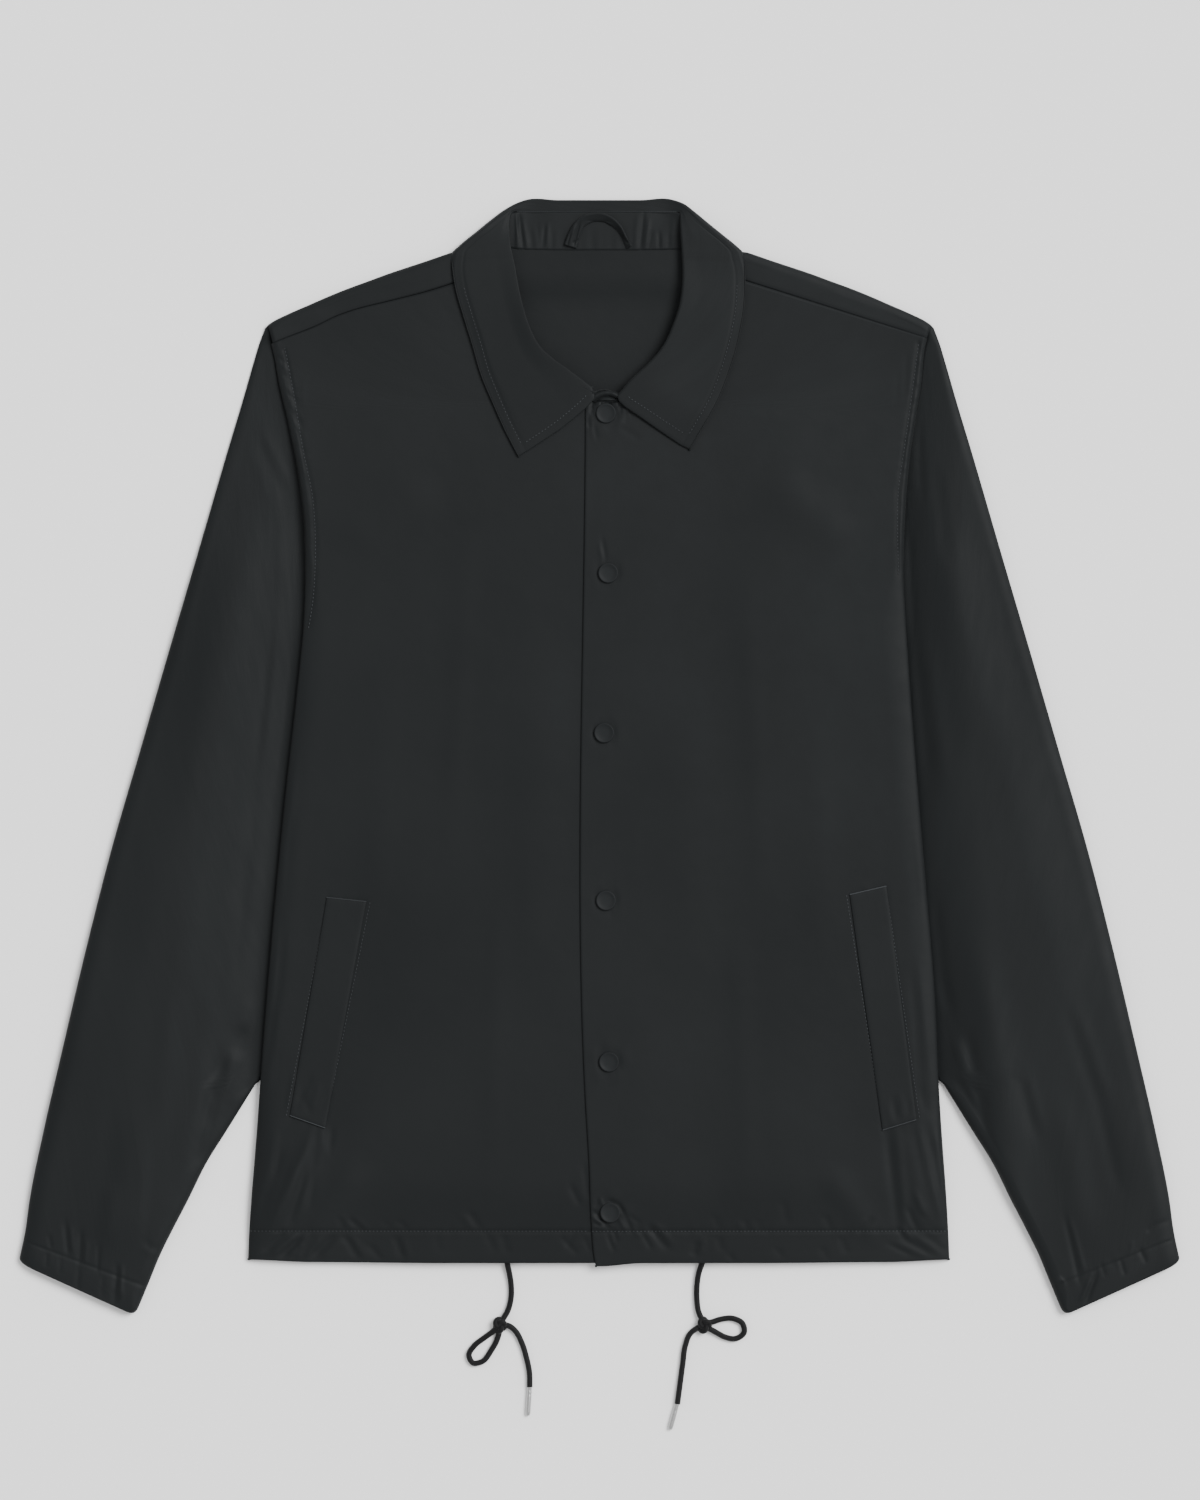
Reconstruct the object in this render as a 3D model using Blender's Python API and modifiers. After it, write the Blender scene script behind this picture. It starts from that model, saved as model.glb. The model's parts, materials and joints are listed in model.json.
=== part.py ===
"""A light coach jacket laid flat on its back, front up, with its sleeves down its sides.

Run it with: blender --background --python part.py
The scene is in metres with +Z up. The collar points to +Y and the wearer's left is at +X.
The origin lies on the surface that the jacket rests on, in the middle of its outline without
the drawcord ends. Sizes below are in millimetres; MM turns them into metres.

Each panel is a thin wall. Its outer face is a grid of points, with a row for each section of the
cloth, and Solidify gives the wall. "Out" is the distance from the middle line to either side.
"""

import math
from functools import partial

import bmesh
import bpy
import numpy as np
from mathutils import Vector
from mathutils.bvhtree import BVHTree

MM = 0.001

# Cloth and seams
WALL = 1.2
SEAM_GAP = 0.3
OVERLAP_LIFT = 2.0

# Heights of the outer faces above the surface
BODY_CROWN = 12.2
HEM_HEIGHT = 8.6
SHOULDER_DROP = 4.2
SIDE_DROP = 1.6
TUCK_HEIGHT = 3.6
SIDE_LIFT = 4.2
NECK_LIFT = 2.0
HEM_Y = -352.0
HEM_RISE = 60.0
HEM_STITCH_Y = -331.0
HEM_STITCH_DEPTH = 0.7

# How the cloth turns at its edges. A reach is how far from the edge the turn starts.
ARMHOLE_TURN = 35.0
SIDE_REACH = 16.0
UNDER_REACH = 4.0
SIDE_TIP = 8.0
BACK_SIDE_INSET = 8.5
SHOULDER_REACH = 6.0
SLEEVE_REACH = 12.0
SLEEVE_SHOULDER_REACH = 5.0
TUCKED_REACH = 2.4
OPEN_REACH = 8.0
LEAF_REACH = 9.0
LEAF_DEPTH = 8.0
SLEEVE_UNDER_SEAM = 0.91

# The side of the body: the armhole seam above the underarm, the rolled side edge below it.
# One list of y, and how far out the line runs on the wearer's left and right.
SIDE_Y = (-352, -331, -310, -261, -222, -167, -93, -16, 48, 96, 128, 167, 205, 233, 261, 290, 303.6)
SIDE_LEFT = (245, 244.2, 243, 239.5, 237, 234.5, 228.6, 222.2, 217.3, 214.1, 212.4, 213.4, 216.3, 220.2,
             224.8, 228.3, 232.6)
SIDE_RIGHT = (246, 245.2, 243.8, 239.9, 237, 232.8, 226.4, 218.7, 211.5, 206.9, 205.6, 206.8, 211.8, 217.5,
              224, 228.8, 232.6)
UNDERARM_Y = 128.0
ARMHOLE_TOP_Y = 303.2
ARMHOLE_GAP = 0.5
# Where the sleeve's head starts, tucked under the body, and the seam's miter at the shoulder point
HEAD_Y = 122.0
HEAD_MITER = 1.4
# Heights at which every piece that meets at the armhole has a point, so that their edges match
ARMHOLE_Y = (128, 148, 168, 200, 233, 262, 293.2, 303.6)

# Outer edge of a sleeve from the cuff up to the shoulder point
SLEEVE_OUTER_Y = (-353.2, -331, -310, -261, -205, -135, -65, 5, 75, 145, 215, 250, 278, 289, 303.2)
SLEEVE_OUTER_OUT = (406.3, 401.6, 398.7, 388.8, 375.9, 359.4, 341.6, 321.3, 301, 280.4, 260, 249.5, 241.5,
                    238.2, 232.8)

# Inner edge of a sleeve: how far it lies under the body's edge, then where it shows
TUCK_Y = (-226, -205, -170, -120, -60, 0, 48, 96, 122)
TUCK = (0, 8, 14, 17, 18, 17, 15, 11, 8)
SLEEVE_INNER_Y = (-390, -380, -366, -345, -331, -310, -282, -261, -240, -226)
SLEEVE_INNER_OUT = (328, 320.5, 314.7, 305.9, 298.9, 288, 274, 260.8, 247.8, 239.2)

# Rings of a sleeve's head: share of the armhole's line in them, crown. The rest of their line is
# that of the first section below.
HEAD_RINGS = ((1.0, 8.0), (0.86, 9.0), (0.70, 10.0), (0.53, 10.8), (0.36, 11.2), (0.18, 11.4))
# Sections of a sleeve below its head: y of the outer end, y of the inner end, crown, depth of the pleats
SLEEVE_SECTIONS = (
    (144.0, 8.0, 11.4, 0.0),
    (104.0, -22.0, 11.2, 0.0),
    (62.0, -56.0, 11.2, 0.0),
    (14.0, -92.0, 11.2, 0.0),
    (-38.0, -130.0, 11.2, 0.0),
    (-90.0, -164.0, 11.4, 0.0),
    (-140.0, -196.0, 11.4, 0.0),
    (-182.0, -222.0, 11.2, 0.0),
    (-214.0, -244.0, 11.0, 0.0),
    (-248.0, -272.0, 10.7, 0.0),
    (-282.0, -306.0, 10.2, 0.0),
    (-308.0, -334.0, 9.8, 0.2),
    (-326.0, -354.0, 9.0, 0.5),
    (-337.0, -368.5, 7.8, 0.8),
    (-346.0, -380.0, 9.4, 0.65),
    (-353.2, -390.0, 8.2, 0.55),
)
TOP_EXTRA_Y = (138, 158, 184, 216, 247, 270, 282)

# Levels of the body's rows above the hem
FRONT_ROWS_Y = (-352, -345, -332, -319, -292, -262, -228, -190, -145, -98, -50, 0, 48, 84, 100, 114, 128, 148,
                168, 200, 233)
BACK_ROWS_Y = (-351, -331, -292, -262, -228, -190, -145, -50, 48, 84, 100, 114, 128, 148, 168, 200, 233, 262,
               293.2, 318, 334)
BACK_COLUMNS_OUT = (0, 35, 64, 72, 79, 84.4, 86, 106, 126, 160, 191, 205, 216, 232)

# Neckline on the front panels, from beside the opening to the shoulder seam, and the rows' outer ends
NECKLINE_OUT = (28, 46, 60, 72, 80, 85, 86)
NECKLINE_Y = (251.5, 260.5, 273, 290, 308, 324, 338.3)
NECK_ROWS_SIDE_Y = (247, 254, 262, 270, 278, 286, 293.2)
NECK_FRONT_Y = 248.6
SHOULDER_SEAM = ((86, 338.3), (228.6, 293.2))
SHOULDER_FOLD = ((103.3, 352.2), (232, 303.3))
BACK_NECK_OUT = (35, 64, 72)
BACK_NECK_Y = (355.6, 356.6, 357.6)
# Beside the neck the back's edge climbs round the shoulder fold: how far each column turns over
# in degrees, and the y where it ends on top
NECK_TURNS = {79: (100.0, None), 84.4: (180.0, 348.0)}

# Front opening: x of the upper front's edge by height, and of the hidden under front's edge
OPENING_Y = (-355, -345, -320, -289, -240, 245)
OPENING_X = (-1.3, -3.2, -5.3, -6.3, -9.1, -9.1)
UNDER_EDGE_X = 19.0

# Stand of the collar: lower end (out, y, height) and upper end (out, y, height) of each section,
# from the middle of the back round to beside the opening. Heights are of the wall's middle.
STAND_LOWER = (
    (0, 355.6, 2.6), (30, 355.6, 2.6), (60, 356.5, 2.6), (65, 357.0, 2.6), (72, 358.0, 2.8),
    (78.4, 361.6, 5.2), (82.9, 351.6, 7.9), (86, 338.3, 7.7), (85, 324, 7.7), (80, 308, 7.7), (72, 290, 7.7),
    (60, 273, 7.7), (46, 260.5, 7.8), (28, 251.5, 8.2),
)
STAND_UPPER = (
    (0, 382, 2.6), (30, 382, 2.6), (54, 382, 3.0), (59, 379.5, 5.6), (61.6, 374, 9.4),
    (62.6, 367, 12.0), (62.4, 358, 12.8), (60.6, 347, 12.6), (58, 334, 12.2), (54, 317, 11.8),
    (48.5, 300, 11.2), (41.5, 287, 10.8), (32, 277, 10.6), (21, 268.5, 10.4),
)
STAND_END_RIGHT = (((2, 249.9, 8.0), (5.2, 258.8, 10.2)), ((-17, 248.8, 8.0), (-12, 257.8, 9.0)))
STAND_END_LEFT = (((9, 250.0, 8.0), (13, 257.3, 9.8)), ((-8, 248.8, 8.0), (-5, 257.8, 9.8)))

# Leaf of the collar, a row for each section from the middle of the back to the front edge:
# start (out, y, height), fold (out, y), height at the fold, turn in degrees, tip (out, y)
LEAF_SECTIONS = (
    ((0, 382.4, 3.3), (0, 390.0), 4.6, 180, (0, 349)),
    ((30, 382.4, 3.3), (29, 390.0), 4.6, 180, (30, 349)),
    ((54, 382.4, 3.8), (53, 390.0), 5.0, 180, (50, 348.7)),
    ((57, 381.4, 6.2), (59, 388.4), 6.6, 180, (56, 348.5)),
    ((59.6, 379.4, 9.0), (66.0, 383.2), 9.0, 180, (63, 348.3)),
    ((61.9, 373, 12.9), (75.6, 376.4), 12.2, 180, (73, 348)),
    ((62.6, 367, 14.8), (87.5, 367.4), 12.8, 180, (83, 350)),
    ((62.7, 363, 15.2), (97.0, 361.4), 12.8, 180, (92, 353)),
    ((62.6, 360.4, 15.2), (101.0, 359.0), 12.8, 180, (95.4, 356)),
    ((62.4, 358, 15.3), (103.8, 356.4), 12.8, 165, (103, 356)),
    ((62.1, 355.2, 15.3), (105.4, 353.6), 12.8, 125, (105, 353)),
    ((61.8, 352.4, 15.2), (106.2, 350.6), 12.8, 85, (106, 350)),
    ((61.3, 349.6, 15.1), (105.9, 347.2), 12.6, 55, (105, 347)),
    ((60.6, 346, 15.0), (104.8, 342.6), 12.2, 35, (104, 343)),
    ((58, 334, 14.7), (101.2, 328.0), 11.2, 25, (101, 328)),
    ((54, 317, 14.3), (95.5, 309.0), 11.0, 25, (96, 309)),
    ((48.5, 300, 13.7), (89.5, 288.0), 11.0, 25, (90, 288)),
    ((41.5, 287, 13.3), (83.0, 267.0), 11.2, 25, (83, 267)),
    ((32, 277, 13.1), (76.5, 246.0), 11.4, 25, (77, 246)),
    ((21, 268.5, 12.9), (69.0, 229.0), 11.8, 25, (69, 229)),
)
LEAF_END_RIGHT = ((5.2, 258.8, 12.7), (56.6, 210.7), 12.6, 25, (57, 211))
LEAF_END_LEFT = ((13.3, 257.0, 12.4), (63.8, 216.0), 12.6, 25, (64, 216))

# Hanger loop: (x, y) along the middle of the tape, its width and wall, and its rise at the middle
LOOP_ROUTE = ((-21.7, 356.6), (-19.0, 364.5), (-13.8, 372.0), (-7.0, 376.2), (0.4, 377.2), (7.6, 376.2),
              (14.4, 372.0), (19.6, 364.5), (22.4, 356.6))
LOOP_WIDTH = 4.8
LOOP_WALL = 1.0
LOOP_RISE = 1.6

# Pocket welts: (out, y) of the four corners, from the inner top corner round to the outer top one
WELT_RIGHT = ((163.4, -100.6), (192.0, -258.6), (215.8, -250.2), (190.0, -97.8))
WELT_LEFT = ((175.2, -95.6), (198.1, -260.1), (221.0, -253.0), (199.9, -89.9))
WELT_STEPS = 9
WELT_LIFT = 0.45

# Snaps: middle of each cap, and the cap's profile as (radius, height)
SNAP_PLACES = ((4.5, 240.5), (6.0, 128.8), (3.2, 17.2), (4.5, -99.8), (6.6, -212.5), (7.4, -317.8))
SNAP_PROFILE = ((0, 2.2), (4.6, 2.05), (6.6, 1.5), (7.5, 0.7), (7.3, 0))
SNAP_SIDES = 16

# Drawcord ends: routes in (x, y, height of the cord's middle)
CORD_DIAMETER = 4.0
CORD_STEP = 9.0
CORD_ROUTES = {
    "right_hem": ((-64.6, -345.0, 4.6), (-64.6, -353.0, 4.1), (-63.0, -361.0, 2.7), (-61.8, -369.5, 2.1),
                  (-62.1, -379.5, 2.1), (-64.6, -388.0, 2.6), (-67.2, -392.3, 3.4)),
    "right_loop": ((-73.7, -400.7, 3.4), (-80.6, -406.0, 2.2), (-87.6, -411.6, 2.1), (-91.4, -418.2, 2.1),
                   (-88.6, -423.6, 2.1), (-82.0, -422.6, 2.1), (-75.6, -414.6, 2.1), (-71.6, -407.2, 2.6),
                   (-70.3, -402.9, 3.4)),
    "right_tail": ((-63.8, -397.6, 3.2), (-59.4, -400.6, 2.6), (-54.6, -409.0, 2.1), (-51.2, -419.6, 2.1),
                   (-49.0, -430.6, 2.1), (-48.8, -439.4, 2.1)),
    "left_hem": ((72.6, -345.0, 4.6), (71.8, -353.0, 4.1), (69.4, -361.0, 2.7), (68.2, -369.5, 2.1),
                 (68.2, -380.0, 2.1), (69.4, -388.0, 2.6), (71.1, -391.9, 3.4)),
    "left_loop": ((77.6, -395.1, 3.4), (85.0, -393.0, 2.2), (93.0, -392.4, 2.1), (100.2, -396.2, 2.1),
                  (101.2, -402.4, 2.1), (95.4, -406.6, 2.1), (87.6, -405.4, 2.1), (81.6, -402.2, 2.4),
                  (79.0, -401.2, 3.0)),
    "left_tail": ((68.5, -399.2, 3.4), (63.4, -403.2, 2.5), (60.2, -411.0, 2.1), (58.2, -424.6, 2.1),
                  (56.2, -439.6, 2.1), (54.6, -451.6, 2.1)),
}
KNOT_PLACES = {"right": (-69.9, -397.2, 3.9), "left": (73.2, -397.0, 3.9)}
KNOT_RADII = (4.4, 5.2, 3.6)
AGLET_ENDS = {
    "right": ((-48.8, -439.9, 2.05), (-50.1, -460.3, 1.9)),
    "left": ((54.5, -452.1, 2.05), (49.4, -470.0, 1.9)),
}
AGLET_DIAMETER = 3.4
AGLET_SIDES = 12

# Largest soft folds: (x, y) of both ends, half width, height
BODY_FOLDS = (
    (-196, -262, -232, -330, 11, 1.3),
    (-168, -285, -205, -338, 10, 1.0),
    (200, -262, 234, -328, 11, 1.3),
    (160, -290, 196, -340, 10, 0.9),
    (-120, 190, -178, 150, 16, 0.9),
    (118, 195, 172, 150, 16, 0.9),
    (-40, 60, -46, -150, 20, 0.7),
    (60, 40, 70, -170, 22, 0.7),
)
SLEEVE_FOLDS = (
    (-262, -150, -286, -292, 12, 1.5),
    (-352, -120, -384, -300, 16, 1.2),
    (-240, 150, -262, 20, 18, 1.2),
    (-318, -250, -336, -340, 12, 1.1),
    (266, -140, 292, -300, 12, 1.5),
    (350, -130, 380, -305, 16, 1.2),
    (244, 150, 268, 10, 18, 1.2),
    (322, -240, 340, -338, 12, 1.1),
)

LEFT, RIGHT = 1, -1
CLOTH_COLOUR = (0.0212, 0.0242, 0.0262, 1.0)
CORD_COLOUR = (0.010, 0.010, 0.011, 1.0)
SNAP_COLOUR = (0.0225, 0.0245, 0.0262, 1.0)
METAL_COLOUR = (0.46, 0.46, 0.45, 1.0)


def ease(value):
    """Smooth step from 0 to 1 as value goes from 0 to 1."""
    part = np.clip(value, 0.0, 1.0)
    return part * part * (3.0 - 2.0 * part)


def curve(at, places, values):
    """Read a smooth curve through the given values, with slopes taken from the neighbours."""
    places = np.asarray(places, dtype=float)
    values = np.asarray(values, dtype=float)
    slopes = np.gradient(values, places)
    at = np.clip(at, places[0], places[-1])
    index = np.clip(np.searchsorted(places, at) - 1, 0, len(places) - 2)
    span = places[index + 1] - places[index]
    part = (at - places[index]) / span
    rise = values[index + 1] - values[index]
    start = slopes[index] * span
    end = slopes[index + 1] * span
    cubic = start + end - 2 * rise
    return values[index] + part * (start + part * (3 * rise - 2 * start - end + part * cubic))


def side_line(side, y):
    """How far out the armhole seam or the rolled edge lies at height y.

    Above the underarm it runs straight between the shared heights, so that all edges there match.
    """
    values = SIDE_LEFT if side == LEFT else SIDE_RIGHT
    if y <= UNDERARM_Y:
        return float(curve(y, SIDE_Y, values))
    return float(np.interp(y, ARMHOLE_Y, curve(np.array(ARMHOLE_Y), SIDE_Y, values)))


def folds(table, x, y):
    """Add up soft ridges: a bell across each fold's line, fading out at its ends."""
    total = 0.0
    for x1, y1, x2, y2, width, height in table:
        length = math.hypot(x2 - x1, y2 - y1)
        along = ((x - x1) * (x2 - x1) + (y - y1) * (y2 - y1)) / length ** 2
        across = ((x - x1) * (y2 - y1) - (y - y1) * (x2 - x1)) / length
        ends = ease((along + 0.15) / 0.4) * ease((1.15 - along) / 0.4)
        total = total + height * ends * np.exp(-(across / width) ** 2)
    return total


def front_height(x, y):
    """Height of the fronts' outer face: full in the middle, lower at hem, sides and shoulders."""
    height = HEM_HEIGHT + (BODY_CROWN - HEM_HEIGHT) * ease((y - HEM_Y) / HEM_RISE)
    height = height - SHOULDER_DROP * ease((y - 150.0) / 140.0)
    height = height - SIDE_DROP * ease((abs(x) - 120.0) / 90.0)
    stitch_line = HEM_STITCH_DEPTH * np.exp(-((y - HEM_STITCH_Y) / 5.0) ** 2)
    return height - stitch_line + folds(BODY_FOLDS, x, y)


def overlap_lift(x):
    """How much higher the upper front and the collar's upper end lie, over the under front."""
    return OVERLAP_LIFT * float(ease((46.0 - x) / 22.0))


def side_roll(y):
    """0 where the side is an open armhole, 1 where the front rolls right round to the underside."""
    return float(ease((150.0 - y) / 60.0))


def sleeve_beneath(y):
    """1 where a sleeve lies under the body's side, 0 above the underarm and where it shows."""
    return float(ease((168.0 - y) / 34.0) * ease((y + 262.0) / 34.0))


def underside_height(side, x, y):
    """How far the body's underside is held up by the sleeve or collar that lies beneath it."""
    out = abs(x)
    beside = ease((out - side_line(side, y) + 38.0) / 12.0) * sleeve_beneath(y)
    collar = ease((y - 320.0) / 13.0) * ease((126.0 - out) / 14.0)
    return max(SIDE_LIFT * beside, NECK_LIFT * collar)


def section(start, fold, top, low, reach, angle, tip, counts, height=None):
    """One section of cloth as points (x, y, z).

    It runs flat from start towards fold, turns down round the fold through angle degrees and,
    where the turn is a half circle, runs on to tip on the underside. reach is how far the turn
    takes above and below. counts is how many points the flat, the turn and the run get.
    """
    flat_count, turn_count, run_count = counts
    start = np.array(start, dtype=float)
    fold = np.array(fold, dtype=float)
    way = (fold - start[:2]) / np.linalg.norm(fold - start[:2])
    turn = math.radians(angle)
    centre = fold - way * reach[0] * math.sin(min(turn, math.pi / 2))
    radius = (top - low) / 2.0
    points = []
    for part in np.linspace(0.0, 1.0, flat_count):
        place = start[:2] + (centre - start[:2]) * part
        level = start[2] + (top - start[2]) * part if height is None else height(place[0], place[1])
        points.append((place[0], place[1], level))
    steps = turn_count if angle >= 180 else turn_count + run_count
    for part in np.linspace(0.0, turn, steps + 1)[1:]:
        if part <= math.pi / 2:
            place = centre + way * reach[0] * math.sin(part)
        else:
            place = fold - way * reach[1] * (1.0 - math.sin(part))
        points.append((place[0], place[1], low + radius * (1.0 + math.cos(part))))
    if angle >= 180:
        last = np.array(points[-1])
        end = np.array((tip[0], tip[1], low))
        points.extend(tuple(last + (end - last) * part) for part in np.linspace(0.0, 1.0, run_count + 1)[1:])
    return points


def material(name, colour, roughness, metallic=0.0):
    made = bpy.data.materials.new(name)
    made.use_nodes = True
    shader = made.node_tree.nodes["Principled BSDF"]
    shader.inputs["Base Color"].default_value = colour
    shader.inputs["Roughness"].default_value = roughness
    shader.inputs["Metallic"].default_value = metallic
    return made


def add_object(name, mesh, finish):
    """Put a mesh into the jacket's collection under its own name and with its own material."""
    made = bpy.data.objects.new(name, mesh)
    mesh.materials.clear()
    mesh.materials.append(material(name + "_" + finish[0], *finish[1:]))
    bpy.data.collections["jacket"].objects.link(made)
    return made


CLOTH = ("cloth", CLOTH_COLOUR, 0.62)
CORD = ("cord", CORD_COLOUR, 0.8)
SNAP = ("snap", SNAP_COLOUR, 0.42)
METAL = ("metal", METAL_COLOUR, 0.3, 1.0)


def grid_mesh(name, rows, closed=False, flip=False):
    """Make a surface of triangles over rows of points; closed joins each row into a ring."""
    grid = np.array(rows, dtype=float) * MM
    row_count, column_count = grid.shape[:2]
    faces = []
    for row in range(row_count - 1):
        for column in range(column_count if closed else column_count - 1):
            beside = (column + 1) % column_count
            corner = [row * column_count + column, (row + 1) * column_count + column,
                      (row + 1) * column_count + beside, row * column_count + beside]
            if flip:
                corner.reverse()
            faces.append((corner[0], corner[1], corner[2]))
            faces.append((corner[0], corner[2], corner[3]))
    mesh = bpy.data.meshes.new(name)
    mesh.from_pydata(grid.reshape(-1, 3).tolist(), [], faces)
    mesh.shade_smooth()
    return mesh


def cloth(name, rows, closed=False, flip=False, wall=WALL, offset=-1.0):
    """A cloth piece: the grid is its outer face and Solidify adds the wall."""
    made = add_object(name, grid_mesh(name, rows, closed, flip), CLOTH)
    shell = made.modifiers.new("wall", "SOLIDIFY")
    shell.thickness = wall * MM
    shell.offset = offset
    shell.use_even_offset = False
    return made


def surface_of(piece):
    """A search tree over a piece's outer face, for setting other pieces on it."""
    points = [tuple(vertex.co) for vertex in piece.data.vertices]
    faces = [tuple(face.vertices) for face in piece.data.polygons]
    return BVHTree.FromPolygons(points, faces)


def height_on(surface, x, y):
    """Height of a piece's outer face at x, y."""
    hit = surface.ray_cast(Vector((x * MM, y * MM, 0.1)), Vector((0.0, 0.0, -1.0)))
    return hit[0].z / MM


def front_section(side, inner, y_side, flat_count):
    """One row of a front: from its inner end out to the armhole, or round the side edge."""
    roll = side_roll(y_side)
    angle = ARMHOLE_TURN + (180.0 - ARMHOLE_TURN) * roll
    edge = side_line(side, y_side)
    lift = SIDE_LIFT * sleeve_beneath(y_side)
    turn = math.radians(min(angle, 90.0))
    fold = (side * (edge - ARMHOLE_GAP / 2), y_side)
    top = front_height(fold[0] - side * SIDE_REACH * math.sin(turn), y_side)
    tip = (side * (edge - SIDE_TIP), y_side)
    start = (inner[0], inner[1], 0.0)
    reach = (SIDE_REACH, UNDER_REACH)
    return section(start, fold, top, lift, reach, angle, tip, (flat_count, 5, 2), front_height)


def make_front(side):
    """A front panel. The wearer's left one laps over the right one at the opening."""
    name = "front_left" if side == LEFT else "front_right"
    ends = []
    for y in FRONT_ROWS_Y:
        ends.append(((opening_x(side, y), y), y))
    ends.append(((opening_x(side, NECK_FRONT_Y), NECK_FRONT_Y), 240.0))
    for out, y, y_side in zip(NECKLINE_OUT, NECKLINE_Y, NECK_ROWS_SIDE_Y):
        ends.append(((side * out, y), y_side))
    rows = []
    for inner, y_side in ends:
        row = front_section(side, inner, y_side, 12)
        if side == LEFT:
            row = [(x, y, z + overlap_lift(x)) for x, y, z in row]
        rows.append(row)
    shape_hem(rows, side)
    return cloth(name, rows, flip=side == LEFT)


def opening_x(side, y):
    """x of a front's edge at the opening."""
    return float(curve(y, OPENING_Y, OPENING_X)) if side == LEFT else UNDER_EDGE_X


def shape_hem(rows, side):
    """Drop the hem a little towards the opening and lift it at the side."""
    for level, share in enumerate((1.0, 1.0, 0.5)):
        moved = []
        for x, y, z in rows[level]:
            drop = 0.6 * ease((200.0 - abs(x)) / 90.0)
            if side == LEFT:
                drop = drop + 2.2 * ease((30.0 - x) / 30.0)
            rise = 1.6 * ease((abs(x) - 200.0) / 45.0)
            moved.append((x, y + share * (rise - drop), z))
        rows[level] = moved


def line_y(line, out):
    """Height of a straight line between two (out, y) points, also past its ends."""
    (out1, y1), (out2, y2) = line
    return y1 + (out - out1) * (y2 - y1) / (out2 - out1)


def shoulder_fold(out):
    """y of the fold over the shoulder. It lies a little lower where the collar covers it."""
    return line_y(SHOULDER_FOLD, out) - 1.6 * float(ease((118.0 - out) / 12.0))


def back_edge(side, y):
    """How far out the back panel reaches: to the armhole, or to the side seam on the underside."""
    return side_line(side, y) - ARMHOLE_GAP / 2 - BACK_SIDE_INSET * side_roll(y)


def back_column_x(side, out, y):
    """x of a back column at y. Columns spread in proportion, the outer ones keep to the edge."""
    return side * out * back_edge(side, y) / BACK_COLUMNS_OUT[-1]


def back_column(side, out):
    """One column of the back: up the underside and, beside the neck, over the shoulder fold."""
    points = []
    for y in BACK_ROWS_Y:
        x = back_column_x(side, out, y)
        points.append((x, y, underside_height(side, x, y)))
    x = back_column_x(side, out, ARMHOLE_TOP_Y)
    low = underside_height(side, x, 345.0)
    if out <= BACK_NECK_OUT[-1]:
        end = float(np.interp(out, BACK_NECK_OUT, BACK_NECK_Y))
        points.extend((x, y, low) for y in np.linspace(BACK_ROWS_Y[-1], end, 9)[1:])
        return points
    fold, seam = 345.0, 300.0
    for _ in range(3):
        fold = shoulder_fold(abs(back_column_x(side, out, fold)))
        seam = line_y(SHOULDER_SEAM, abs(back_column_x(side, out, seam))) + 1.5 * SEAM_GAP
    top = front_height(x, seam)
    reach = min(SHOULDER_REACH, (fold - seam) * 0.6)
    turn_end, seam = NECK_TURNS.get(out, (180.0, seam))
    rounding = []
    for turn in np.radians(np.linspace(0.0, turn_end, 8 if seam is None else 7)):
        y = fold - reach * (1.0 - math.sin(turn))
        rounding.append((back_column_x(side, out, y), y, low + (top - low) / 2.0 * (1.0 - math.cos(turn))))
    points = [point for point in points if point[1] < rounding[0][1] - 3.0]
    while len(points) < len(BACK_ROWS_Y):
        y = (points[-1][1] + rounding[0][1]) / 2.0
        x = back_column_x(side, out, y)
        points.append((x, y, underside_height(side, x, y)))
    points.extend(rounding)
    if seam is not None:
        points.append((back_column_x(side, out, seam), seam, top))
    return points


def make_back():
    """The back panel, flat on the surface, from one side seam to the other."""
    columns = [back_column(RIGHT, out) for out in reversed(BACK_COLUMNS_OUT[1:])]
    columns += [back_column(LEFT, out) for out in BACK_COLUMNS_OUT]
    rows = list(zip(*columns))
    return cloth("back", rows)


def sleeve_inner(side, y):
    """How far out a sleeve's inner edge lies."""
    if y > TUCK_Y[0]:
        return side_line(side, y) - float(curve(y, TUCK_Y, TUCK))
    return float(curve(y, SLEEVE_INNER_Y, SLEEVE_INNER_OUT))


def armhole_height(side, y):
    """Height of the sleeve's top beside the front, low where it slips under the body's edge."""
    seam = SLEEVE_UNDER_SEAM * front_height(side * side_line(side, y), max(y, 168.0))
    return TUCK_HEIGHT + (seam - TUCK_HEIGHT) * float(ease((y - UNDERARM_Y) / 40.0))


def sleeve_height(side, x, y, crown):
    """Height of a sleeve's top: low at the body's edge, up to its crown, with the folds on it."""
    beyond = abs(x) - side_line(side, y)
    low = armhole_height(side, y)
    rise = float(ease((beyond - 2.0) / 30.0))
    return low + (crown - low + float(folds(SLEEVE_FOLDS, x, y))) * rise


def armhole_place(side, part):
    """Plan of the armhole seam on the sleeve. part runs from -1 under the body to 0 at the underarm to 1."""
    corner = np.array((side_line(side, UNDERARM_Y) + ARMHOLE_GAP / 2, UNDERARM_Y))
    if part < 0.0:
        start = np.array((sleeve_inner(side, HEAD_Y), HEAD_Y))
        return start + (corner - start) * (part + 1.0)
    y = UNDERARM_Y + part * (ARMHOLE_TOP_Y - UNDERARM_Y)
    miter = HEAD_MITER * float(ease((part - 0.93) / 0.05))
    return np.array((side_line(side, y) + ARMHOLE_GAP / 2 + miter, y))


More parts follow.
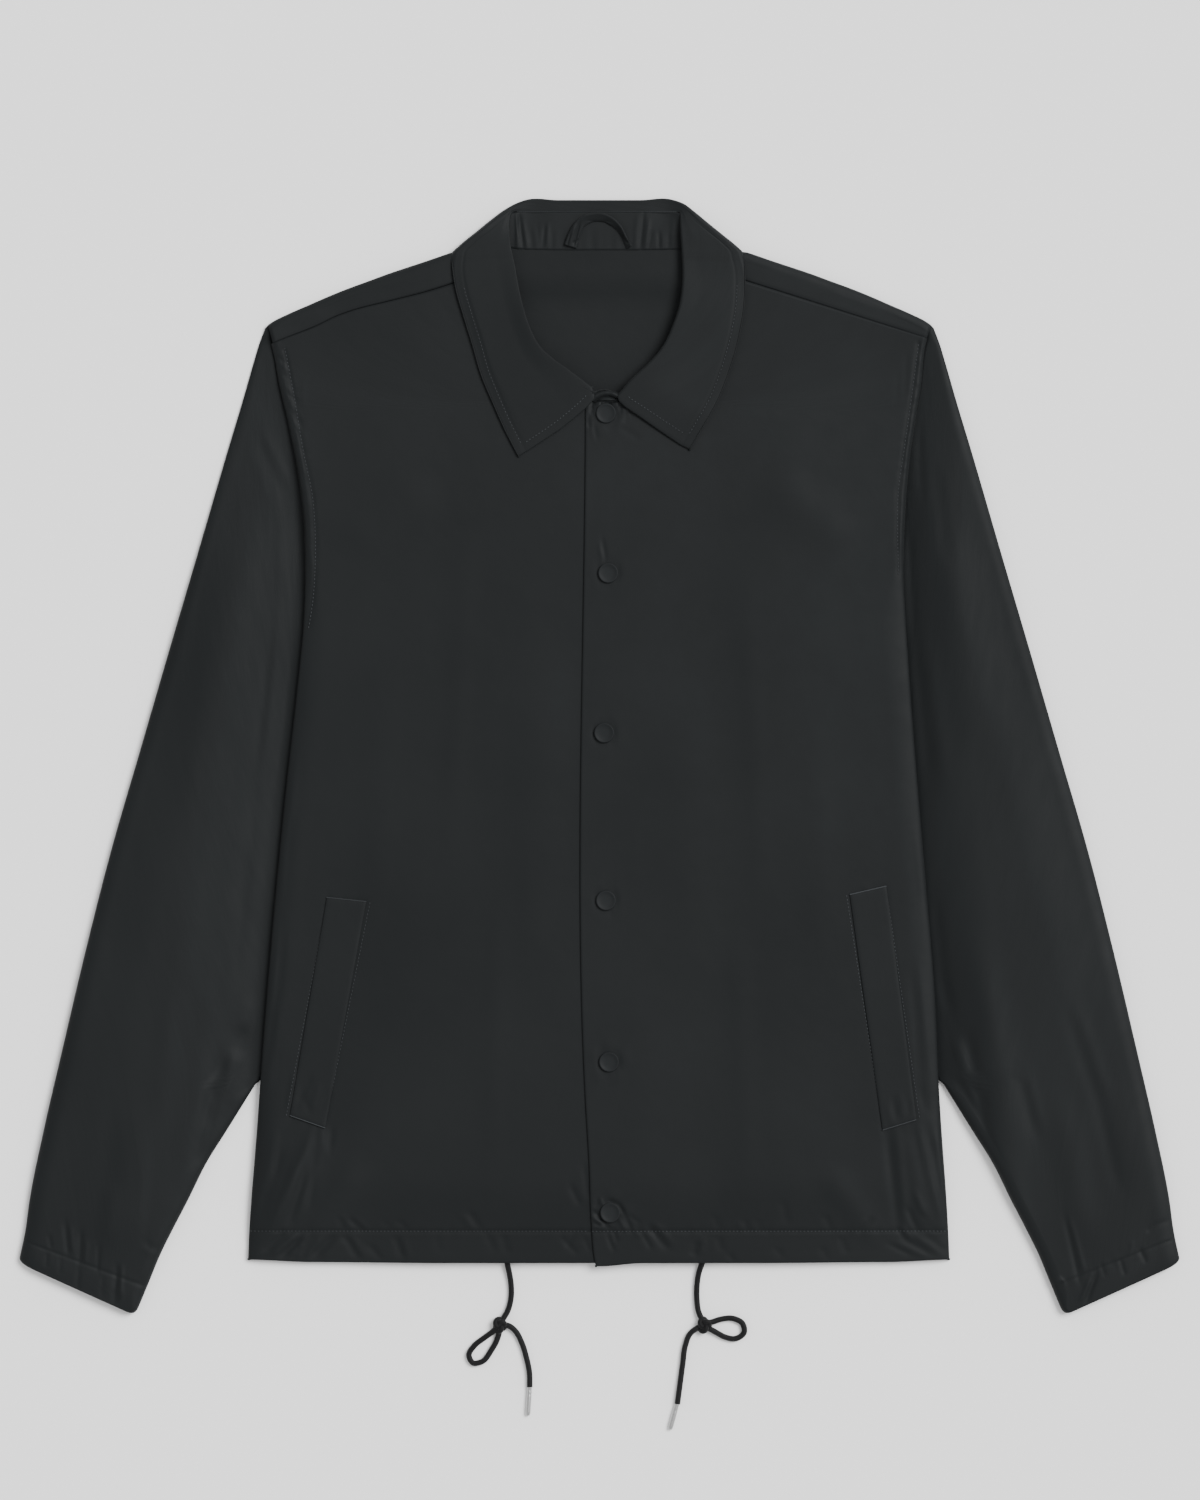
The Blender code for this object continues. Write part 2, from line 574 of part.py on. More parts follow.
def straight_place(side, outer_y, inner_y, part):
    """Plan of a straight section. part is 0 where the body's edge crosses it, -1 and 1 at its ends."""
    outer = np.array((float(curve(outer_y, SLEEVE_OUTER_Y, SLEEVE_OUTER_OUT)), outer_y))
    inner = np.array((sleeve_inner(side, inner_y), inner_y))
    tucked = max(0.12, (side_line(side, inner_y) - inner[0]) / (outer[0] - inner[0]))
    share = tucked * (part + 1.0) if part < 0.0 else tucked + (1.0 - tucked) * part
    return inner + (outer - inner) * share


def head_place(side, blend, part):
    """Plan of a ring in the sleeve's head, between the armhole and the first straight section."""
    outer_y, inner_y = SLEEVE_SECTIONS[0][:2]

    def mixed(where):
        straight = straight_place(side, outer_y, inner_y, where)
        return armhole_place(side, where) * blend + straight * (1.0 - blend)

    spot = mixed(part)
    end = mixed(1.0)
    bulge = float(curve(end[1], SLEEVE_OUTER_Y, SLEEVE_OUTER_OUT)) - end[0]
    if 0.0 < blend < 1.0:
        spot[0] += bulge * float(ease((part - 0.4) / 0.6))
    return spot


def sleeve_ring(side, place, crown, inner_reach, outer_reach, pleat):
    """One ring of a sleeve: underside, outer fold, top and inner fold, as points round it."""
    tucked = np.linalg.norm(place(0.0) - place(-1.0))
    length = np.linalg.norm(place(1.0) - place(0.0))
    knots = (np.array(ARMHOLE_Y[:-1]) - UNDERARM_Y) / (ARMHOLE_TOP_Y - UNDERARM_Y)
    extra = (np.array(TOP_EXTRA_Y) - UNDERARM_Y) / (ARMHOLE_TOP_Y - UNDERARM_Y)

    def point(part, level):
        out, y = place(part)
        return side * out, y, level

    def top(part):
        out, y = place(part)
        return sleeve_height(side, side * out, y, crown)

    first = inner_reach / tucked - 1.0
    low_last = 1.0 - SLEEVE_SHOULDER_REACH / length
    top_last = 1.0 - outer_reach / length
    outer_top = top(top_last)
    inner_top = top(first)
    ring = [point(part, 0.0) for part in (first, *knots[knots < low_last - 0.01], low_last)]
    while len(ring) < len(knots) + 2:
        ring.insert(-1, tuple((np.array(ring[-1]) + np.array(ring[-2])) / 2.0))
    for turn in (50, 90, 120, 150):
        angle = math.radians(turn)
        reach = SLEEVE_SHOULDER_REACH if turn < 90 else outer_reach
        level = outer_top / 2.0 * (1.0 - math.cos(angle))
        ring.append(point(1.0 - reach / length * (1.0 - math.sin(angle)), level))
    spots = np.sort(np.concatenate((knots, extra)))
    spots = np.where(spots < 0.5, spots, 0.5 + (spots - 0.5) / (spots[-1] - 0.5) * (top_last - 0.02 - 0.5))
    for number, part in enumerate((top_last, *spots[::-1], first)):
        wave = pleat * (1 if number % 2 else -1) if 0 < number <= len(spots) else 0.0
        ring.append(point(part, top(part) + wave))
    for turn in (140, 90, 45):
        angle = math.radians(turn)
        part = inner_reach / tucked * (1.0 - math.sin(angle)) - 1.0
        ring.append(point(part, inner_top / 2.0 * (1.0 - math.cos(angle))))
    return ring


def make_sleeve(side):
    """A sleeve: rings from the armhole through its head and down to the cuff."""
    rings = []
    for number, (blend, crown) in enumerate(HEAD_RINGS):
        wider = (SLEEVE_REACH - SLEEVE_SHOULDER_REACH) * float(ease(number / 3.0))
        place = partial(head_place, side, blend)
        rings.append(sleeve_ring(side, place, crown, TUCKED_REACH, SLEEVE_SHOULDER_REACH + wider, 0.0))
    for outer_y, inner_y, crown, pleat in SLEEVE_SECTIONS:
        inner_reach = OPEN_REACH if inner_y < TUCK_Y[0] else TUCKED_REACH
        place = partial(straight_place, side, outer_y, inner_y)
        rings.append(sleeve_ring(side, place, crown, inner_reach, SLEEVE_REACH, pleat))
    name = "sleeve_left" if side == LEFT else "sleeve_right"
    return cloth(name, rings, closed=True, flip=side == LEFT)


def mirrored(point, side):
    """A point given by its distance from the middle line, put on one side."""
    return (side * point[0],) + tuple(point[1:])


def lapped(side, x, y, z):
    """A point of the collar, lifted where it lies on the upper front."""
    return x, y, z + (overlap_lift(x) if side == LEFT and y < 300 else 0.0)


def stand_section(lower, upper, side):
    """Four points from the neck seam to the stand's upper edge, held off the panels by a seam gap."""
    low = np.array(mirrored(lower, side), dtype=float)
    high = np.array(mirrored(upper, side), dtype=float)
    low = low + (high - low) / np.linalg.norm(high - low) * SEAM_GAP * 2.0
    points = [low + (high - low) * part for part in np.linspace(0.0, 1.0, 4)]
    return [lapped(side, *point) for point in points]


def make_collar_stand():
    """The band round the neck, from one front end round the back to the other."""
    rows = [stand_section(*ends, RIGHT) for ends in reversed(STAND_END_RIGHT)]
    pairs = list(zip(STAND_LOWER, STAND_UPPER))
    rows += [stand_section(lower, upper, RIGHT) for lower, upper in reversed(pairs[1:])]
    rows += [stand_section(lower, upper, LEFT) for lower, upper in pairs]
    rows += [stand_section(*ends, LEFT) for ends in STAND_END_LEFT]
    return cloth("collar_stand", rows, offset=0.0)


def leaf_section(values, side):
    """One section of the leaf, from the roll out to its edge."""
    start, fold, top, angle, tip = values
    low = (top - LEAF_DEPTH) * float(ease((180.0 - angle) / 110.0))
    reach = (min(LEAF_REACH, 0.75 * math.dist(start[:2], fold)), UNDER_REACH)
    start, fold, tip = (mirrored(spot, side) for spot in (start, fold, tip))
    points = section(start, fold, top, low, reach, angle, tip, (5, 4, 2))
    return [lapped(side, *point) for point in points]


def make_collar_leaf():
    """The turned-down collar: on the fronts it lies on top, behind the neck it is folded under."""
    rows = [leaf_section(LEAF_END_RIGHT, RIGHT)]
    rows += [leaf_section(values, RIGHT) for values in reversed(LEAF_SECTIONS[1:])]
    rows += [leaf_section(values, LEFT) for values in LEAF_SECTIONS]
    rows.append(leaf_section(LEAF_END_LEFT, LEFT))
    return cloth("collar_leaf", rows)


def make_hanger_loop():
    """A flat tape arch that starts and ends at the back neck seam."""
    route = np.array(LOOP_ROUTE)
    along = np.gradient(route, axis=0)
    along = along / np.linalg.norm(along, axis=1)[:, None]
    across = np.column_stack((-along[:, 1], along[:, 0])) * LOOP_WIDTH / 2
    rise = np.sin(np.linspace(0.0, math.pi, len(route))) * LOOP_RISE
    level = STAND_LOWER[0][2] + WALL / 2 + 0.4 + LOOP_WALL + rise
    rows = [[(*(spot + step), top), (*(spot - step), top)] for spot, step, top in zip(route, across, level)]
    return cloth("hanger_loop", rows, flip=True, wall=LOOP_WALL)


def make_welt(side, surface):
    """A welt that follows the front panel it is sewn on."""
    name = "pocket_welt_left" if side == LEFT else "pocket_welt_right"
    inner_top, inner_low, outer_low, outer_top = (np.array(spot) for spot in
                                                  (WELT_LEFT if side == LEFT else WELT_RIGHT))
    rows = []
    for part in np.linspace(0.0, 1.0, WELT_STEPS):
        inner = inner_low + (inner_top - inner_low) * part
        outer = outer_low + (outer_top - outer_low) * part
        row = []
        for share in np.linspace(0.0, 1.0, 4):
            out, y = inner + (outer - inner) * share
            row.append((side * out, y, height_on(surface, side * out, y) + WELT_LIFT + WALL))
        rows.append(row)
    return cloth(name, rows, flip=side == LEFT)


def make_snap(number, place, surface):
    """A snap cap: a low turned dome that sits on the upper front."""
    x, y = place
    rim = SNAP_PROFILE[-2][0]
    spots = [(x, y)] + [(x + rim * math.cos(turn), y + rim * math.sin(turn))
                        for turn in np.linspace(0.0, 2.0 * math.pi, 12)]
    seat = max(height_on(surface, *spot) for spot in spots) + SEAM_GAP
    points = [(radius * MM, 0.0, height * MM) for radius, height in SNAP_PROFILE + ((0, 0),)]
    mesh = bpy.data.meshes.new("snap")
    mesh.from_pydata(points, [(step, step + 1) for step in range(len(points) - 1)], [])
    made = add_object("snap_%d" % number, mesh, SNAP)
    made.location = (x * MM, y * MM, seat * MM)
    turned = made.modifiers.new("turned", "SCREW")
    turned.steps = SNAP_SIDES
    turned.render_steps = SNAP_SIDES
    turned.use_merge_vertices = True
    turned.merge_threshold = 0.00005
    return made


def smooth_route(points, step):
    """Points about a step apart on a smooth curve through the route's own points."""
    points = np.array(points, dtype=float)
    lengths = np.linalg.norm(np.diff(points, axis=0), axis=1)
    places = np.concatenate(((0.0,), np.cumsum(lengths)))
    count = max(4, int(round(places[-1] / step)) + 1)
    at = np.linspace(0.0, places[-1], count)
    return np.column_stack([curve(at, places, points[:, axis]) for axis in range(3)])


def make_cord(name, route):
    """One free stretch of the drawcord: a round tube along its route."""
    data = bpy.data.curves.new(name, "CURVE")
    data.dimensions = "3D"
    data.bevel_depth = CORD_DIAMETER / 2 * MM
    data.bevel_resolution = 2
    data.use_fill_caps = True
    points = smooth_route(route, CORD_STEP)
    spline = data.splines.new("POLY")
    spline.points.add(len(points) - 1)
    for target, point in zip(spline.points, points):
        target.co = (*(point * MM), 1.0)
    made = bpy.data.objects.new(name, data)
    data.materials.append(material(name + "_cord", *CORD[1:]))
    bpy.data.collections["jacket"].objects.link(made)
    return made


def make_knot(name, place):
    """The overhand knot: a rounded lump that the cord's stretches run into."""
    mesh = bpy.data.meshes.new(name)
    shape = bmesh.new()
    bmesh.ops.create_uvsphere(shape, u_segments=12, v_segments=8, radius=1.0)
    bmesh.ops.scale(shape, vec=Vector(KNOT_RADII) * MM, verts=shape.verts)
    shape.to_mesh(mesh)
    shape.free()
    mesh.shade_smooth()
    made = add_object(name, mesh, CORD)
    made.location = Vector(place) * MM
    return made


def make_aglet(name, ends):
    """The metal tube clenched on the cord's end."""
    start, end = (Vector(spot) * MM for spot in ends)
    mesh = bpy.data.meshes.new(name)
    shape = bmesh.new()
    bmesh.ops.create_cone(shape, cap_ends=True, segments=AGLET_SIDES, radius1=AGLET_DIAMETER / 2 * MM,
                          radius2=AGLET_DIAMETER / 2 * MM, depth=(end - start).length)
    shape.to_mesh(mesh)
    shape.free()
    mesh.shade_smooth()
    made = add_object(name, mesh, METAL)
    made.location = (start + end) / 2
    made.rotation_mode = "QUATERNION"
    made.rotation_quaternion = (end - start).to_track_quat("Z", "Y")
    return made


def main():
    for old in list(bpy.data.objects):
        bpy.data.objects.remove(old, do_unlink=True)
    bpy.context.scene.collection.children.link(bpy.data.collections.new("jacket"))
    make_back()
    under_front = make_front(RIGHT)
    upper_front = make_front(LEFT)
    make_sleeve(RIGHT)
    make_sleeve(LEFT)
    make_collar_stand()
    make_collar_leaf()
    make_hanger_loop()
    make_welt(RIGHT, surface_of(under_front))
    upper_surface = surface_of(upper_front)
    make_welt(LEFT, upper_surface)
    for number, place in enumerate(SNAP_PLACES, start=1):
        make_snap(number, place, upper_surface)
    for stretch, route in CORD_ROUTES.items():
        make_cord("cord_" + stretch, route)
    for side, place in KNOT_PLACES.items():
        make_knot("cord_%s_knot" % side, place)
    for side, ends in AGLET_ENDS.items():
        make_aglet("cord_%s_aglet" % side, ends)


main()
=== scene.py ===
# %% [markdown]
# # A coach jacket laid flat
# The real thing is a light jacket of black woven nylon. It lies on its back, closed, with its sleeves
# down its sides, seen from straight above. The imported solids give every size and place. Here each panel
# is made again as a fine thin shell on the same form, with the seams, gathers and soft creases of real
# cloth. Lengths are worked out in millimetres and turned into metres when a mesh is made.

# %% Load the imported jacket
import json
import math
import bpy
import numpy as np
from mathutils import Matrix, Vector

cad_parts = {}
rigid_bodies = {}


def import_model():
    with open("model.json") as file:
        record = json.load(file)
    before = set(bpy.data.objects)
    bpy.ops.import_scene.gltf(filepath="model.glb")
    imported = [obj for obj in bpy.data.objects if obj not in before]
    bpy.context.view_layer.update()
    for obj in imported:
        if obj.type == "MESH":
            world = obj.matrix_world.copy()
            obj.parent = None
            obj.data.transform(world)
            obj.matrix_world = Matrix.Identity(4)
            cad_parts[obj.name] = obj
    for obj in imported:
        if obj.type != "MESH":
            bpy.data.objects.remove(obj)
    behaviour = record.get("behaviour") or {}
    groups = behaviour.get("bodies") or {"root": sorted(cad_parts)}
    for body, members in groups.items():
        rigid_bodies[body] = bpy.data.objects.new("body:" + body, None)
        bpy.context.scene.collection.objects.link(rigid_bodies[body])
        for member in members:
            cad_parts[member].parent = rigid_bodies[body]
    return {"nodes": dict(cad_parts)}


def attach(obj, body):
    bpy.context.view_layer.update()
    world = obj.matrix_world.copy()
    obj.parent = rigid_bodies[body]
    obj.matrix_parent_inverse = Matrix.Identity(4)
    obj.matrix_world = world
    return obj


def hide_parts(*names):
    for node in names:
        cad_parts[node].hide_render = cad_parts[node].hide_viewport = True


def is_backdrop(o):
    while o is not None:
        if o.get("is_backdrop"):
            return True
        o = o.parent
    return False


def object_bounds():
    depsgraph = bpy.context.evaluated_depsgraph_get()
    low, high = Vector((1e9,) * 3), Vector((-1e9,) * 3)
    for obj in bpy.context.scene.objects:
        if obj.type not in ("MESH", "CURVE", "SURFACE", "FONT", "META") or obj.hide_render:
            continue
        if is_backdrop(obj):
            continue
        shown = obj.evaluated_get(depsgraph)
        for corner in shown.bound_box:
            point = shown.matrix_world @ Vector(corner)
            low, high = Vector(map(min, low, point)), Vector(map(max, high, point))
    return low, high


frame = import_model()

CAD_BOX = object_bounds()
MM = 0.001
RIGHT, LEFT = -1, 1
SIDES = ((RIGHT, "right"), (LEFT, "left"))
print("solids:", len(frame["nodes"]), "box:", [round(v, 3) for corner in CAD_BOX for v in corner])

# %% [markdown]
# ## Camera, light and floor
# The photo looks straight down and shows 0.84 by 1.05 metres of the surface. A long lens from far away
# keeps the edges of thick cloth from spreading. The light is even: a bright room and one wide soft
# light from the upper right, the same all over, which leaves a thin shade along the collar and the sides.

# %% The camera looks straight down
CAMERA_HEIGHT, FRAME_HEIGHT, SENSOR_HEIGHT = 5.0, 1.05, 36.0
FRAME_MIDDLE = (0.00035, 0.00525)

camera_data = bpy.data.cameras.new("camera")
camera_data.sensor_fit = "VERTICAL"
camera_data.sensor_height = SENSOR_HEIGHT
camera_data.lens = SENSOR_HEIGHT * CAMERA_HEIGHT / FRAME_HEIGHT
camera_data.clip_end = 30.0
camera = bpy.data.objects.new("camera", camera_data)
camera.location = (*FRAME_MIDDLE, CAMERA_HEIGHT)
bpy.context.scene.collection.objects.link(camera)
bpy.context.scene.camera = camera
print("frame height:", FRAME_HEIGHT, "m")


# %% Materials and their shader nodes
def new_material(name):
    """A material that uses nodes, and its Principled shader."""
    made = bpy.data.materials.new(name)
    made.use_nodes = True
    return made, made.node_tree.nodes["Principled BSDF"]


def feed(tree, node, given):
    """Give each named input of a node a value, or the output that feeds it."""
    for name, value in given.items():
        if isinstance(value, bpy.types.NodeSocket):
            tree.links.new(value, node.inputs[name])
        else:
            node.inputs[name].default_value = value


# %% A pale floor and soft light
FLOOR_HALF = 4
ROOM_STRENGTH, WINDOW_STRENGTH = 0.85, 4.1
WINDOW_WIDTH, WINDOW_TILT = 30, (-20, 33)

pale, shader = new_material("pale_floor")
feed(pale.node_tree, shader, {"Base Color": (0.95, 0.95, 0.95, 1.0), "Roughness": 0.9})
floor_mesh = bpy.data.meshes.new("floor")
corners = [(i * FLOOR_HALF, j * FLOOR_HALF, 0) for i, j in ((-1, -1), (1, -1), (1, 1), (-1, 1))]
floor_mesh.from_pydata(corners, [], [(0, 1, 2, 3)])
floor = bpy.data.objects.new("floor", floor_mesh)
floor_mesh.materials.append(pale)
bpy.context.scene.collection.objects.link(floor)
floor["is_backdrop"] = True

world = bpy.data.worlds.new("room")
world.use_nodes = True
room = world.node_tree.nodes["Background"]
feed(world.node_tree, room, {"Color": (1.0, 1.0, 1.0, 1.0), "Strength": ROOM_STRENGTH})
bpy.context.scene.world = world

lamp_data = bpy.data.lights.new("window_light", "SUN")
lamp_data.energy = WINDOW_STRENGTH
lamp_data.angle = math.radians(WINDOW_WIDTH)
lamp = bpy.data.objects.new("window_light", lamp_data)
lamp.rotation_euler = (*map(math.radians, WINDOW_TILT), 0.0)
bpy.context.scene.collection.objects.link(lamp)
print("light, floor and camera are set")

# %% [markdown]
# ## Helpers for curves and cloth
# A cloth piece is a grid of points. Tables from the pattern, such as the line of the armhole, are read
# as smooth curves. Creases are added as heights: a bell across a line, faded out at its ends. Uneven
# softness comes from a coarse net of random heights, read smoothly in between.


# %% Curves and noise
def ease(value):
    """Smooth step: 3 v^2 - 2 v^3 between 0 and 1."""
    part = np.clip(value, 0.0, 1.0)
    return part * part * (3.0 - 2.0 * part)


def curve(at, places, values):
    """Smooth curve through given values: a cubic on each span, its slopes taken from the neighbours."""
    places = np.asarray(places, dtype=float)
    values = np.asarray(values, dtype=float)
    slopes = np.gradient(values, places)
    at = np.clip(np.asarray(at, dtype=float), places[0], places[-1])
    index = np.clip(np.searchsorted(places, at) - 1, 0, len(places) - 2)
    span = places[index + 1] - places[index]
    part = (at - places[index]) / span
    rise = values[index + 1] - values[index]
    start = slopes[index] * span
    end = slopes[index + 1] * span
    bend = start + end - 2 * rise
    return values[index] + part * (start + part * (3 * rise - 2 * start - end + part * bend))


def run_along(points):
    """The length of a line of points up to each of them."""
    return np.concatenate(((0.0,), np.cumsum(np.linalg.norm(np.diff(points, axis=0), axis=1))))


def columns_at(at, places, table, read=curve):
    """Every column of a table read at some places: as a smooth curve, or straight with np.interp."""
    return np.column_stack([read(at, places, values) for values in np.asarray(table, dtype=float).T])


def unit(rows):
    """Each row divided by its own length."""
    return rows / np.linalg.norm(rows, axis=1)[:, None]


print("curve at 1.5:", round(float(curve(1.5, (0, 1, 2, 3), (0, 1, 4, 9))), 3))


# %% Noise and creases
NET = 64


def noise(x, y, size_x, size_y, seed):
    """Soft noise from -1 to 1: random heights on a net of size_x by size_y, blended with ease."""
    net = np.random.RandomState(int(10 * abs(seed))).uniform(-1.0, 1.0, (NET, NET))
    u, v = np.asarray(x) / size_x + NET / 2, np.asarray(y) / size_y + NET / 2
    i, j = np.floor(u).astype(int), np.floor(v).astype(int)
    a, b = ease(u - i), ease(v - j)
    low = net[i % NET, j % NET] * (1 - a) + net[(i + 1) % NET, j % NET] * a
    high = net[i % NET, (j + 1) % NET] * (1 - a) + net[(i + 1) % NET, (j + 1) % NET] * a
    return low * (1 - b) + high * b


def creases(table, x, y):
    """Sum of soft ridges: height times a bell across each line, times an ease at both its ends."""
    total = np.zeros(np.broadcast(x, y).shape)
    for x1, y1, x2, y2, width, height in table:
        length = math.hypot(x2 - x1, y2 - y1)
        along = ((x - x1) * (x2 - x1) + (y - y1) * (y2 - y1)) / length ** 2
        across = ((x - x1) * (y2 - y1) - (y - y1) * (x2 - x1)) / length
        fade = ease((along + 0.15) / 0.4) * ease((1.15 - along) / 0.4)
        total = total + height * fade * np.exp(-(across / width) ** 2)
    return total


# %% Waves along a sewn line
def beside_line(line, x, y):
    """Distance from a line of points, signed to the left, and the length along it to the nearest place."""
    line = np.asarray(line, dtype=float)
    best = np.full(np.broadcast(x, y).shape, 1e9)
    signed, along = np.zeros_like(best), np.zeros_like(best)
    run = 0.0
    for (x1, y1), (x2, y2) in zip(line[:-1], line[1:]):
        dx, dy = x2 - x1, y2 - y1
        length = math.hypot(dx, dy)
        part = np.clip(((x - x1) * dx + (y - y1) * dy) / length ** 2, 0.0, 1.0)
        off_x, off_y = x - x1 - part * dx, y - y1 - part * dy
        away = np.hypot(off_x, off_y)
        nearer = away < best
        side = np.where(dx * off_y - dy * off_x >= 0, 1.0, -1.0)
        best = np.where(nearer, away, best)
        signed = np.where(nearer, away * side, signed)
        along = np.where(nearer, run + part * length, along)
        run += length
    return signed, along


def ripple(along, seed):
    """Uneven waves along a seam: three sines of 7, 11 and 19 mm, from -1 to 1."""
    return (np.sin(along / 1.75 + seed) + 0.8 * np.sin(along / 1.11 + 2.3 * seed)
            + 0.7 * np.sin(along / 3.0 + 0.6 * seed)) / 2.5


def gathered(line, x, y, reach, depth, seed, groove):
    """A sewn line: a narrow groove, with waves square to it that die out over reach."""
    off, along = beside_line(line, x, y)
    swell = 0.5 + 0.5 * noise(along, 0.0 * along, 34.0, 10.0, seed)
    waves = depth * ripple(along, seed) * swell * np.exp(-(off / reach) ** 2)
    return waves - groove * np.exp(-(off / 1.1) ** 2)


sample = gathered(((0, 0), (50, 0)), np.arange(50.0), 0.0, 3.0, 0.2, 1.0, 0.35)
print("deepest groove:", round(float(sample.min()), 2), "mm")


# %% Grids into meshes
def lengths_along(grid, axis):
    """Length along the grid's lines in millimetres, for the piece's UV map."""
    steps = np.linalg.norm(np.diff(grid, axis=axis), axis=2)
    start = np.zeros_like(np.take(steps, [0], axis=axis))
    return np.concatenate((start, np.cumsum(steps, axis=axis)), axis=axis)


def grid_faces(rows, columns, closed, flip):
    """Corner numbers of all quads of a grid; closed joins the last column to the first."""
    across = columns if closed else columns - 1
    i, j = np.meshgrid(np.arange(rows - 1), np.arange(across), indexing="ij")
    beside = (j + 1) % columns
    here, below = i * columns, (i + 1) * columns
    quads = np.stack((here + j, below + j, below + beside, here + beside), -1)
    return quads.reshape(-1, 4)[:, ::-1] if flip else quads.reshape(-1, 4)


def mesh_object(name, points, quads, uv=None):
    """A mesh object at the origin from points in millimetres, smooth, that moves with the root."""
    mesh = bpy.data.meshes.new(name)
    mesh.from_pydata((np.asarray(points) * MM).tolist(), [], [list(map(int, face)) for face in quads])
    if uv is not None:
        corners = np.empty(len(mesh.loops), dtype=np.int32)
        mesh.loops.foreach_get("vertex_index", corners)
        layer = mesh.uv_layers.new(name="UVMap")
        layer.data.foreach_set("uv", (np.asarray(uv)[corners] * MM).ravel())
    mesh.shade_smooth()
    made = bpy.data.objects.new(name, mesh)
    bpy.context.scene.collection.objects.link(made)
    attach(made, "root")
    return made


# %% Cloth pieces
CLOTH_WALL, LEAF_WALL, THIN_WALL, FLOOR_GAP = 0.7, 0.9, 0.5, 0.9
TURN = np.radians(np.linspace(0.0, 165.0, 6))[1:]


def raised(plan, height):
    """A grid of plan points (x, y) with their heights."""
    return np.concatenate((plan, height[..., None]), axis=2)


def turned(grid, radius, where):
    """Turn a grid's edges in along an arc: out along the cloth and down, or up where it lies low."""
    for edge in where:
        if edge in ("first", "last"):
            grid = grid.transpose(1, 0, 2)
        if edge in ("start", "first"):
            grid = grid[:, ::-1]
        rim = grid[:, -1]
        way = unit((rim - grid[:, -2]) * (1.0, 1.0, 0.3))
        out = rim[:, None] + way[:, None] * (radius * np.sin(TURN))[None, :, None]
        down = np.clip(rim[:, 2] / FLOOR_GAP - 1.0, -1.0, 1.0)
        out[:, :, 2] -= radius * (1.0 - np.cos(TURN))[None, :] * down[:, None]
        grid = np.concatenate((grid, out), axis=1)
        if edge in ("start", "first"):
            grid = grid[:, ::-1]
        if edge in ("first", "last"):
            grid = grid.transpose(1, 0, 2)
    return grid


def cloth(node, grid, wall=CLOTH_WALL, closed=False, flip=False):
    """The cloth piece of a solid: the grid is its outer face, and Solidify adds the wall inwards."""
    rows, columns = grid.shape[:2]
    uv = np.stack((lengths_along(grid, 1), lengths_along(grid, 0)), -1).reshape(-1, 2)
    made = mesh_object(node + "_cloth", grid.reshape(-1, 3), grid_faces(rows, columns, closed, flip), uv)
    shell = made.modifiers.new("wall", "SOLIDIFY")
    shell.thickness = wall * MM
    shell.offset = -1.0
    shell.use_even_offset = False
    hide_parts(node)
    print(made.name, (rows, columns), "about", 4 * rows * columns, "triangles")
    return made


print("walls of cloth:", CLOTH_WALL, LEAF_WALL, THIN_WALL, "mm")

# %% [markdown]
# ## Drawcord ends
# Each cord leaves the hem casing, passes through a small overhand knot, makes one loop, goes back
# through the knot and ends in a crimped metal tube. It is one smooth centre line, so it is made as one
# round tube: circles carried along the line. The line's points are those of the solids.

# %% Routes of the cords
CORD_DIAMETER = 4.0
CORD_ROUTES = {
    "right": ((-64.6, -345.0, 4.6), (-64.6, -353.0, 4.1), (-63.0, -361.0, 2.7), (-61.8, -369.5, 2.1),
              (-62.1, -379.5, 2.1), (-64.6, -388.0, 2.6), (-67.2, -392.3, 3.4), (-70.6, -397.4, 4.4),
              (-73.7, -400.7, 3.4), (-80.6, -406.0, 2.2), (-87.6, -411.6, 2.1), (-91.4, -418.2, 2.1),
              (-88.6, -423.6, 2.1), (-82.0, -422.6, 2.1), (-75.6, -414.6, 2.1), (-71.6, -407.2, 2.6),
              (-70.3, -402.9, 3.0), (-69.4, -398.2, 2.6), (-66.8, -397.0, 2.6), (-63.4, -397.6, 3.0),
              (-59.4, -400.6, 2.6), (-54.6, -409.0, 2.1), (-51.2, -419.6, 2.1), (-49.0, -430.6, 2.1),
              (-48.8, -440.5, 2.1)),
    "left": ((72.6, -345.0, 4.6), (71.8, -353.0, 4.1), (69.4, -361.0, 2.7), (68.2, -369.5, 2.1),
             (68.2, -380.0, 2.1), (69.4, -388.0, 2.6), (71.1, -391.9, 3.4), (73.4, -395.2, 4.4),
             (77.6, -395.1, 3.4), (85.0, -393.0, 2.2), (93.0, -392.4, 2.1), (100.2, -396.2, 2.1),
             (101.2, -402.4, 2.1), (95.4, -406.6, 2.1), (87.6, -405.4, 2.1), (81.6, -402.2, 2.4),
             (78.0, -400.2, 3.0), (73.6, -398.4, 2.6), (70.2, -398.4, 2.6), (67.0, -400.0, 3.0),
             (63.4, -403.2, 2.5), (60.2, -411.0, 2.1), (58.2, -424.6, 2.1), (56.2, -439.6, 2.1),
             (54.5, -452.4, 2.1)),
}
KNOT_PLACES = {"right": (-69.9, -397.2, 3.9), "left": (73.2, -397.0, 3.9)}
KNOT_RADIUS = 1.75
AGLET_ENDS = {"right": ((-48.8, -439.0, 2.05), (-50.1, -460.3, 1.9)),
              "left": ((54.6, -451.2, 2.05), (49.4, -470.0, 1.9))}
AGLET_RADIUS = 1.72
AGLET_GROOVES = ((0.22, 0.16), (0.18, 0.30))  # depth, place as a share of the tube's length
print("points on the routes:", [len(route) for route in CORD_ROUTES.values()])


